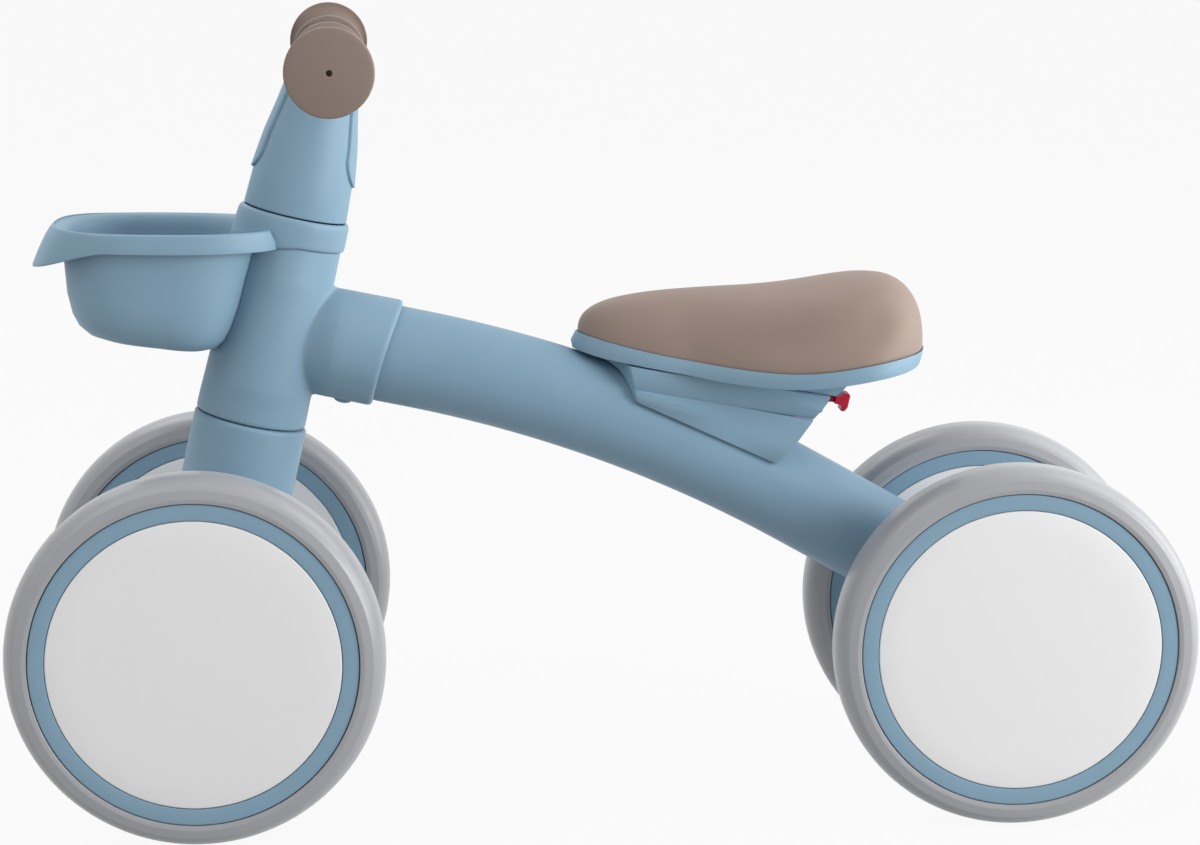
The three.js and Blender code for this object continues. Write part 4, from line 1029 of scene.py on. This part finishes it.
def addBasket():
    size, wall, ear, headTop = basket, basket["wall"], basket["ear"], headTube["top"]
    tub = workpiece(basketShell([*size["outline"], (0.97, 0.998), (0.97, 0)], 0))
    carved(tub, rimRing(), operation="UNION")
    flare = [(height, 1 + out / (size["halfWidth"] - wall)) for height, out in size["flare"]]
    inside = workpiece(basketShell([*size["outline"], *flare, (1.4, 0)], wall))
    foot, top, clear = size["backFoot"], headTop + 5, wall + size["backRoom"]
    backWall = turned([(foot, 0), (foot, headRadius(foot) + clear), (top, headRadius(top) + clear), (top, 0)])
    backWall.transform(headFrame)
    carved(inside, backWall)
    earEnd = headFrame @ Matrix.Translation((0, ear["back"], ear["up"])) @ aboutX(math.radians(ear["slant"]))
    carved(
        tub,
        lifted(inside),
        box((-100, 0, -60), (100, 100, 100), earEnd),
        box((-100, 5, -200), (100, 200, 400), headFrame),
    )
    carved(tub, collarBand(), operation="UNION")
    screwHeight = (intoHead @ middleOf("basket_screw")).z
    seatAt = headTube["collarFrom"] + size["postTopRoom"]
    carved(
        tub,
        postShape(headTube["bottom"] - 1, headTop + size["postRoom"], seatAt, size["postRoom"]),
        rod(size["bore"], headTop - 3, headTop + 40, headFrame),
        rod(size["screwHole"], -60, 0, onward(headFrame, screwHeight) @ aboutX(-quarterTurn), steps=32),
    )
    finished(tub, "basket_moulding", "frame", "blue_plastic", "basket", 32)


addBasket()
print("basket built")


# Seat bracket: two folded sides astride the frame tube, with the saddle's track on top.

bracket = {
    "half": 25, "noseAt": 27, "length": 124.2, "skirt": 12.5, "skirtEnd": 98.4, "footRound": 2.5,
    "track": 4, "slot": 8, "slotDepth": 3, "slotFrom": 46, "wall": 3, "gap": 0.7, "edge": 0.35,
    "rearEdge": [
        (93.5, 185.1), (97.2, 190.3), (100.4, 194.9), (103.6, 199.1), (104.7, 199.5), (105.3, 201.2), (107.4, 204),
    ],
    "prow": [
        (0, 6.5), (2, 9.5), (4.8, 13.4), (7.3, 16.5), (10.4, 19.6), (13.7, 22.3), (16.4, 24), (18.6, 25.2),
        (21, 26), (23.4, 26.4), (25, 27.2),
    ],
    "crease": [(12.7, 210.6), (99.6, 195.9)], "fan": [(12.7, 209.4), (85, 184.6)], "step": 0.55,
    "creaseIn": 2.0, "stepIn": (0.4, 1.2), "footIn": 0.9, "foldBand": (5, 0.3),
    "lean": 4.1, "leanBehind": (42, 26), "leanAcross": (8, 22), "leanHeight": 205, "leanSpan": 19,
    "screwHole": 1.8, "screwHead": 3.8, "headSeat": -2.6,
}


def trackPoint(along, above):
    point = trackFrame @ Vector((0, along, above))
    return point.y, point.z


def skirtPoint(y):
    droop, z = tubeAt(y)
    return y, z + bracket["skirt"] / math.cos(droop)


def cutAcross(bm, start, end):  # an edge all round where the plane through two (y, z) points cuts
    run = (end[0] - start[0], end[1] - start[1])
    bmesh.ops.bisect_plane(
        bm, geom=bm.verts[:] + bm.edges[:] + bm.faces[:], dist=1e-3,
        plane_co=(0, *start), plane_no=(0, -run[1], run[0]),
    )


def aboveLine(vert, start, end):
    share = (vert.co.y - start[0]) / (end[0] - start[0])
    return vert.co.z - lerp(start[1], end[1], share), min(1, max(0, share))


def bracketBody():
    size, half = bracket, bracket["half"]
    nose, end = trackPoint(0, 0), trackPoint(size["length"], 0)
    below = (nose[0], nose[1] - size["skirt"])
    foot = (*skirtPoint(trackStart + size["skirtEnd"]), size["footRound"])
    front = skirtPoint(trackStart + size["noseAt"])
    body = workpiece(slab([below, front, foot, *size["rearEdge"], end, nose], half))
    plan = [(x, trackStart + behind) for x, behind in size["prow"]]
    plan.append((half, trackStart + size["length"] + 5))
    plan = plan + [(-x, y) for x, y in reversed(plan[1:])]
    bm = bmesh.new()
    bm.faces.new([bm.verts.new((x, y, 100)) for x, y in plan])
    carved(body, thickened(bm, (0, 0, 200)), operation="INTERSECT")
    return cleaned(lifted(body))


def foldSides(bm):  # the sides are folded in along the crease, and its front stands a little forward
    size, half = bracket, bracket["half"]
    crease, fan = size["crease"], size["fan"]
    lower = [(y, z - size["step"]) for y, z in crease]
    onLine = 0.02
    for line in (crease, lower, fan):
        cutAcross(bm, *line)
    for vert in bm.verts:
        nearSide = ease(half - size["foldBand"][0], half - size["foldBand"][1], abs(vert.co.x))
        if nearSide > 0:
            over, rearward = aboveLine(vert, *crease)
            inward = 0
            if abs(over) < onLine:
                inward = size["creaseIn"]
            elif abs(aboveLine(vert, *lower)[0]) < onLine:
                inward = size["creaseIn"] + lerp(*size["stepIn"], rearward)
            elif aboveLine(vert, *fan)[0] <= -onLine:
                inward = size["footIn"]
            vert.co.x -= (1 if vert.co.x > 0 else -1) * inward * nearSide
        farBehind, nearBehind = size["leanBehind"]
        ahead = ease(-farBehind, -nearBehind, -(vert.co.y - trackStart))
        ahead *= ease(*size["leanAcross"], abs(vert.co.x))
        vert.co.y -= size["lean"] * ahead * (vert.co.z - size["leanHeight"]) / size["leanSpan"]
    bmesh.ops.triangulate(bm, faces=bm.faces[:])


def addBracket():
    size = bracket
    body = bracketBody()
    foldSides(body)
    made = workpiece(body)
    bevel = made.modifiers.new("edges", "BEVEL")
    bevel.width = size["edge"]
    bevel.segments = 2
    bevel.limit_method = "ANGLE"
    bevel.angle_limit = math.radians(28)
    applied(made)
    tubeRoom = bmesh.new()
    start = onward(sleeveFrame, tubeLine["straight"])
    reach = tubeLine["radius"] + size["gap"]
    bmesh.ops.create_circle(tubeRoom, segments=80, radius=reach, cap_ends=True, matrix=start)
    bmesh.ops.spin(
        tubeRoom, geom=tubeRoom.verts[:] + tubeRoom.edges[:] + tubeRoom.faces[:], cent=bendCentre,
        axis=(-1, 0, 0), angle=bendAngle, steps=64,
    )
    screws = []
    for node in ("front_bracket_screw", "rear_bracket_screw"):
        along = (trackFrame.inverted() @ middleOf(node)).y
        place = trackFrame @ Matrix.Translation((0, along, 0))
        screws.append(rod(size["screwHole"], -40, 5, place, steps=32))
        screws.append(rod(size["screwHead"], size["headSeat"], 5, place, steps=32))
    inner, slot, under = size["half"] - size["wall"], size["slot"], -size["track"]
    begin, far = size["slotFrom"], size["length"] + 60
    carved(
        made,
        cleaned(tubeRoom),
        box((-inner, begin, -100), (inner, far, under), trackFrame),
        box((-slot, begin + 0.6, under - size["slotDepth"]), (slot, far + 2, 6), trackFrame),
        *screws,
    )
    finished(made, "seat_bracket_moulding", "frame", "blue_plastic", "seat_bracket", 40)


addBracket()
print("seat bracket built")


# Saddle: a dished pan with its keel, the cushion on it and the release lever under its tail.

seat = {
    "overhang": 1.5, "length": 172.2, "noseHalf": 28, "flare": 58, "flareFrom": 0.3, "flarePower": 1.3,
    "dip": 3.9, "dipAt": 0.56, "frontRise": 14.5, "frontRisePower": 1.7, "rearRise": 8.8,
    "crown": 29.6, "crownGrowth": 0.097, "frontPower": 2.3, "rearPower": 2.5, "powerChange": (0.3, 0.7),
    "hump": 8.7, "humpFrom": 60, "humpPower": 3.4,
    "waist": 0.12, "waistFrom": (0.32, 0.62), "waistTo": (0.99, 0.8),
    "waistLow": (0, 0.4), "waistHigh": (0.95, 0.4),
}
seatFront = trackStart - seat["overhang"]


def seatHalf(share):
    widening = max(0.0, (share - seat["flareFrom"]) / (1 - seat["flareFrom"]))
    return seat["noseHalf"] + seat["flare"] * widening ** seat["flarePower"]


def seamHeight(y):
    share = (y - seatFront) / seat["length"]
    lowest = trackHeight - seat["dip"]
    if share < seat["dipAt"]:
        return lowest + seat["frontRise"] * ((seat["dipAt"] - share) / seat["dipAt"]) ** seat["frontRisePower"]
    rear = min(1.0, (share - seat["dipAt"]) / (1 - seat["dipAt"]))
    return lowest + seat["rearRise"] * (1 - math.cos(math.pi * rear)) / 2


def fall(high, low, value):  # 1 up to low and 0 from high on
    return ease(-high, -low, -value)


def seatForm(profile, steps=144, crowned=False):
    # (height, radius): radius 1 is the seam, and a radius of 1 + n/100 stands n millimetres outside it
    bm = turned([(h, r * 100) for h, r in profile], steps)
    for vert in bm.verts:
        x, y, z = vert.co.x / 100, vert.co.y / 100, vert.co.z
        reach = math.hypot(x, y)
        scale = 1 / reach if reach > 1 else 1
        share = (1 + y * scale) / 2
        beyond = (reach - 1) * 100 * (1 - 0.6 * ease(0.8, 1, share)) if reach > 1 else 0
        along = seatFront + seat["length"] * share
        rise = z
        waist = 0
        if crowned and z > 0:
            power = lerp(seat["frontPower"], seat["rearPower"], ease(*seat["powerChange"], share))
            level = max(0.0, 1 - min(reach, 1) ** power) ** (1 / power)
            behind = along - seatFront
            hump = seat["hump"] * (max(0, behind - seat["humpFrom"]) / 100) ** seat["humpPower"]
            rise = (seat["crown"] + seat["crownGrowth"] * behind + hump) * level * z
            flank = ease(*seat["waistLow"], level) * fall(*seat["waistHigh"], level)  # drawn in above the seam
            waist = seat["waist"] * flank * ease(*seat["waistFrom"], share) * fall(*seat["waistTo"], share)
        vert.co = (
            x * scale * (seatHalf(share) * (1 - waist) + beyond),
            along + y * scale * beyond,
            seamHeight(along) + rise,
        )
    return cleaned(bm)


pan = {
    "lip": 0.015, "depth": 7.5, "recess": 2.6, "keelHalf": 20, "keelFrom": 27, "keelTo": 127.5, "keelRun": 7,
    "keelBack": 13, "clear": 0.4, "tongueHalf": 7.6, "tongueFrom": 52, "tongueTo": 96, "tongueDepth": 4.1,
    "top": 1.4, "pivot": 110, "below": 5, "lugHalf": 5, "lugThick": 3, "pinHole": 1.7,
    "noseLean": 1.0, "noseDrop": 0.9, "tailTuck": 2.2,
}


def addPan():
    size = pan
    lip, depth, clear, top = 1 + size["lip"], size["depth"], size["clear"], size["top"]
    dish = seatForm(
        [
            (-size["recess"], 0), (-size["recess"], 0.5), (-size["recess"], 0.985), (-0.25, 1.001),
            (-0.1, lip - 0.006), (-0.7, lip - 0.003), (-depth * 0.55, lip + 0.011), (-depth, lip + 0.006),
            (-depth - 0.5, 0.985), (-depth - 0.6, 0.93), (-depth - 0.6, 0.5), (-depth - 0.6, 0),
        ]
    )
    for vert in dish.verts:  # its nose leans out below the seam and closes over the tube, and its tail tucks in
        down = ease(0, depth, seamHeight(vert.co.y) - vert.co.z)
        nose = fall(seatFront + 22, seatFront + 1, vert.co.y) * (1 - 0.6 * ease(0.6, 1, down))
        vert.co.y -= size["noseLean"] * down * nose
        vert.co.y -= size["tailTuck"] * down * ease(seatFront + 150, seatFront + 172, vert.co.y)
        vert.co.z -= size["noseDrop"] * down * fall(seatFront + 45, seatFront + 25, vert.co.y)
    keelEnd = size["keelTo"] + size["keelRun"]
    keel = [
        (size["keelFrom"], clear - 1.4), (size["keelTo"], clear - 1.4), (size["keelTo"], clear),
        (size["keelTo"] + size["keelRun"] / 2, 4.4),
        (keelEnd, size["keelBack"] - 2), (size["keelTo"], size["keelBack"]), (size["keelFrom"], 3.5),
    ]
    bmesh.ops.triangulate(dish, faces=dish.faces[:])  # its leaned faces aren't flat
    made = workpiece(dish)
    carved(made, slab(keel, size["keelHalf"], trackFrame), operation="UNION")
    half, lugEnd = size["lugHalf"], -size["below"] - 4
    corners = [
        (-half, top), (-half, lugEnd + 2, 1.5), (-half / 2, lugEnd, 1),
        (half / 2, lugEnd, 1), (half, lugEnd + 2, 1.5), (half, top),
    ]
    lug = [(size["pivot"] + y, *rest) for y, *rest in corners]
    aside = size["tongueHalf"] - size["lugThick"] / 2
    lugs = [
        slab(lug, size["lugThick"] / 2, trackFrame @ Matrix.Translation((side * aside, 0, 0)))
        for side in (-1, 1)
    ]
    tongueLow = (-size["tongueHalf"], size["tongueFrom"], -size["tongueDepth"])
    tongue = box(tongueLow, (size["tongueHalf"], size["tongueTo"], top), trackFrame)
    carved(made, box((-200, -200, -200), (200, 400, clear), trackFrame))
    for extra in (*lugs, tongue):
        carved(made, extra, operation="UNION")
    pinPlace = trackFrame @ Matrix.Translation((0, size["pivot"], -size["below"])) @ acrossX()
    carved(made, rod(size["pinHole"], -30, 30, pinPlace, steps=32))
    finished(made, "seat_pan_moulding", "saddle", "blue_plastic", "seat_pan", 40)


cushion = {
    "bottom": -2.2, "top": 0.962, "side": 0.994, "heldTo": 1.5, "fadeOver": 6,
    "voxel": 4.0, "pressure": 4.0, "cap": 3.0, "frames": 20, "near": 8,
    "radii": (
        0.9999, 0.998, 0.995, 0.988, 0.98, 0.966, 0.95, 0.925, 0.9, 0.87, 0.84, 0.8, 0.76, 0.66, 0.55, 0.42,
        0.28, 0.14, 0,
    ),
}


def swollen(pad):  # lets air into the cover by a cloth simulation and gives the pad the swell it finds
    size = cushion
    scene = bpy.context.scene
    copy = fused(newObject("swell", pad.data.copy()), size["voxel"], 1)
    copy.data.transform(Matrix.Scale(mm, 4))
    before = [vert.co.copy() for vert in copy.data.vertices]
    held = copy.vertex_groups.new(name="held")
    low = [i for i, co in enumerate(before) if co.z / mm < seamHeight(co.y / mm) + size["heldTo"]]
    held.add(low, 1.0, "REPLACE")
    cloth = copy.modifiers.new("swell", "CLOTH")
    cloth.settings.vertex_group_mass = "held"
    cloth.settings.use_pressure = True
    cloth.settings.uniform_pressure_force = size["pressure"]
    cloth.settings.effector_weights.gravity = 0
    cloth.point_cache.frame_end = size["frames"]
    for step in range(1, size["frames"] + 1):
        scene.frame_set(step)
    shown = copy.evaluated_get(bpy.context.evaluated_depsgraph_get()).to_mesh()
    tree = KDTree(len(before))
    moves = []
    for i, co in enumerate(before):
        move = (shown.vertices[i].co - co) / mm
        move.length = min(move.length, size["cap"]) if move.length > 1e-6 else 0
        moves.append(move)
        tree.insert(co / mm, i)
    tree.balance()
    scene.frame_set(1)
    bpy.data.objects.remove(copy)
    for vert in pad.data.vertices:
        found = tree.find_n(vert.co, size["near"])
        weights = [1 / (reach + 1) for _, _, reach in found]
        move = sum((moves[i] * weight for (_, i, _), weight in zip(found, weights)), Vector()) / sum(weights)
        vert.co += move * ease(0, size["fadeOver"], vert.co.z - seamHeight(vert.co.y))
    print("cushion swelled by up to", round(max(move.length for move in moves), 2), "mm")


def addCushion():
    size = cushion
    bottom, top = size["bottom"], size["top"]
    rings = [(bottom, 0), (bottom, 0.4), (bottom, 0.8), (bottom, 0.985), (0, 0.9999)]
    form = seatForm(rings + [(top, radius) for radius in size["radii"]], 120, crowned=True)
    for vert in form.verts:
        vert.co.x *= size["side"]
    pad = workpiece(form)
    swollen(pad)
    smooth = pad.modifiers.new("smooth", "SUBSURF")
    smooth.levels = smooth.render_levels = 1
    applied(pad)
    finished(pad, "saddle_cushion", "saddle", "taupe_leather", "seat_cushion", 70)


lever = {  # outlines of (y, z) along the track; the tail's y runs from its tip
    "reach": 27.2, "hub": 4, "hubFrom": -4.2, "hubTo": 1.8, "hubEdge": 0.4, "pinHole": 1.75, "voxel": 0.3,
    "armHalf": 2.5, "armAside": -1.3, "tailHalf": 5.5,
    "arm": [(-7, -2.3), (-5, -1.8), (-5, -5.9), (-8, -5.6)],
    "tail": [
        (-7.2, -2.1), (-4.6, -1.3), (-3, 0.1), (-0.6, 0.3, 0.3), (0, -0.6, 0.3), (-0.3, -6.6), (-1.6, -8.7, 0.5),
        (-3.6, -9, 0.5), (-3.4, -6.3), (-5.5, -5.8), (-7.4, -5.6),
    ],
}


def addLever():
    size = lever
    pivot, low = pan["pivot"], -pan["below"]
    arm, tail = ([(pivot + size["reach"] + y, *rest) for y, *rest in size[key]] for key in ("arm", "tail"))
    arm = [(pivot, low + size["hub"]), *arm, (pivot, low - size["hub"])]
    pin = Matrix.Translation((0, pivot, low)) @ acrossX()
    made = workpiece(
        slab(arm, size["armHalf"], Matrix.Translation((size["armAside"], 0, 0))),
        slab(tail, size["tailHalf"]),
        rod(size["hub"], size["hubFrom"], size["hubTo"], pin, edge=size["hubEdge"], steps=40),
    )
    made = fused(made, size["voxel"], 2)
    made.data.transform(trackFrame)
    carved(made, rod(size["pinHole"], -20, 20, trackFrame @ pin, steps=32))
    finished(made, "lever_moulding", "lever", "red_plastic", "release_lever", 45)


addPan()
addCushion()
addLever()
print("saddle built")


# Studio: camera, pale floor and soft lights.

camera = {"yaw": 0.0629, "pitch": 0.1774, "roll": -0.0148, "place": (1431.8, -93.7, 446.6), "lens": 87.378}
studio = {
    "floorRadius": 30, "floorGrey": 0.42, "floorGlow": 0.93, "world": 0.42,
    "lampTarget": (0, 0, 0.18), "lampSize": 1.5, "lampDistance": 2.3,
    "lamps": {  # degrees round from the left side towards the rear, degrees up, watts
        "leftRearLow": (60, 12, 40), "rearLow": (100, 12, 18), "rearHigh": (100, 45, 12),
        "leftFrontLow": (-60, 12, 5), "leftFrontHigh": (-60, 48, 11), "rightFrontHigh": (-150, 48, 13.5),
    },
}


def addCamera():
    size = camera
    yaw, pitch, roll = size["yaw"], size["pitch"], size["roll"]
    forward = Vector((-math.cos(pitch) * math.cos(yaw), math.cos(pitch) * math.sin(yaw), -math.sin(pitch)))
    right = forward.cross(Vector((0, 0, 1))).normalized()
    down = forward.cross(right)
    turnedRight = math.cos(roll) * right + math.sin(roll) * down
    turnedDown = -math.sin(roll) * right + math.cos(roll) * down
    data = bpy.data.cameras.new("camera")
    data.lens = size["lens"]
    data.sensor_width = 36
    data.sensor_fit = "HORIZONTAL"
    data.clip_end = 100
    eye = newObject("camera", data)
    turn = Matrix((turnedRight, -turnedDown, -forward)).transposed().to_4x4()
    eye.matrix_world = Matrix.Translation(Vector(size["place"]) * mm) @ turn
    bpy.context.scene.camera = eye


def addLamp(name, around, up, power):
    data = bpy.data.lights.new(name, "AREA")
    data.shape = "DISK"
    data.size = studio["lampSize"]
    data.energy = power
    lamp = newObject(name, data)
    turn, rise = math.radians(around), math.radians(up)
    direction = Vector((math.cos(turn) * math.cos(rise), math.sin(turn) * math.cos(rise), math.sin(rise)))
    lamp.location = Vector(studio["lampTarget"]) + studio["lampDistance"] * direction
    lamp.rotation_euler = (-direction).to_track_quat("-Z", "Y").to_euler()
    lamp.visible_camera = False


def showsWhite(tree):  # 1 for rays that see the background itself, straight or by a reflection
    rays = tree.nodes.new("ShaderNodeLightPath")
    seen = mathNode(tree, "MAXIMUM", rays.outputs["Is Camera Ray"], rays.outputs["Is Glossy Ray"])
    return mathNode(tree, "MAXIMUM", seen, rays.outputs["Is Transmission Ray"])


def addFloor():
    bm = bmesh.new()
    bmesh.ops.create_circle(bm, segments=96, radius=studio["floorRadius"], cap_ends=True)
    mesh = bpy.data.meshes.new("studio_floor")
    bm.to_mesh(mesh)
    bm.free()
    newObject("studio_floor", mesh)
    material = bpy.data.materials.new("paleFloor")
    material.use_nodes = True
    tree = material.node_tree
    tree.nodes.clear()
    paint = tree.nodes.new("ShaderNodeBsdfDiffuse")
    paint.inputs["Color"].default_value = (*[studio["floorGrey"]] * 3, 1)
    glow = tree.nodes.new("ShaderNodeEmission")
    mix = tree.nodes.new("ShaderNodeMixShader")
    end = tree.nodes.new("ShaderNodeOutputMaterial")
    feed(tree, mix.inputs["Fac"], mathNode(tree, "MULTIPLY", showsWhite(tree), studio["floorGlow"]))
    tree.links.new(paint.outputs["BSDF"], mix.inputs[1])
    tree.links.new(glow.outputs["Emission"], mix.inputs[2])
    tree.links.new(mix.outputs["Shader"], end.inputs["Surface"])
    mesh.materials.append(material)


def addWorld():
    world = bpy.data.worlds.new("studio")
    bpy.context.scene.world = world
    world.use_nodes = True
    tree = world.node_tree
    back = tree.nodes["Background"]
    back.inputs["Color"].default_value = (1, 1, 1, 1)
    feed(tree, back.inputs["Strength"], rangeNode(tree, showsWhite(tree), studio["world"], 1.0, 0.0, 1.0))


addCamera()
addFloor()
addWorld()
for name, place in studio["lamps"].items():
    addLamp(name, *place)
bpy.context.scene.view_settings.view_transform = "Standard"
print("studio set")
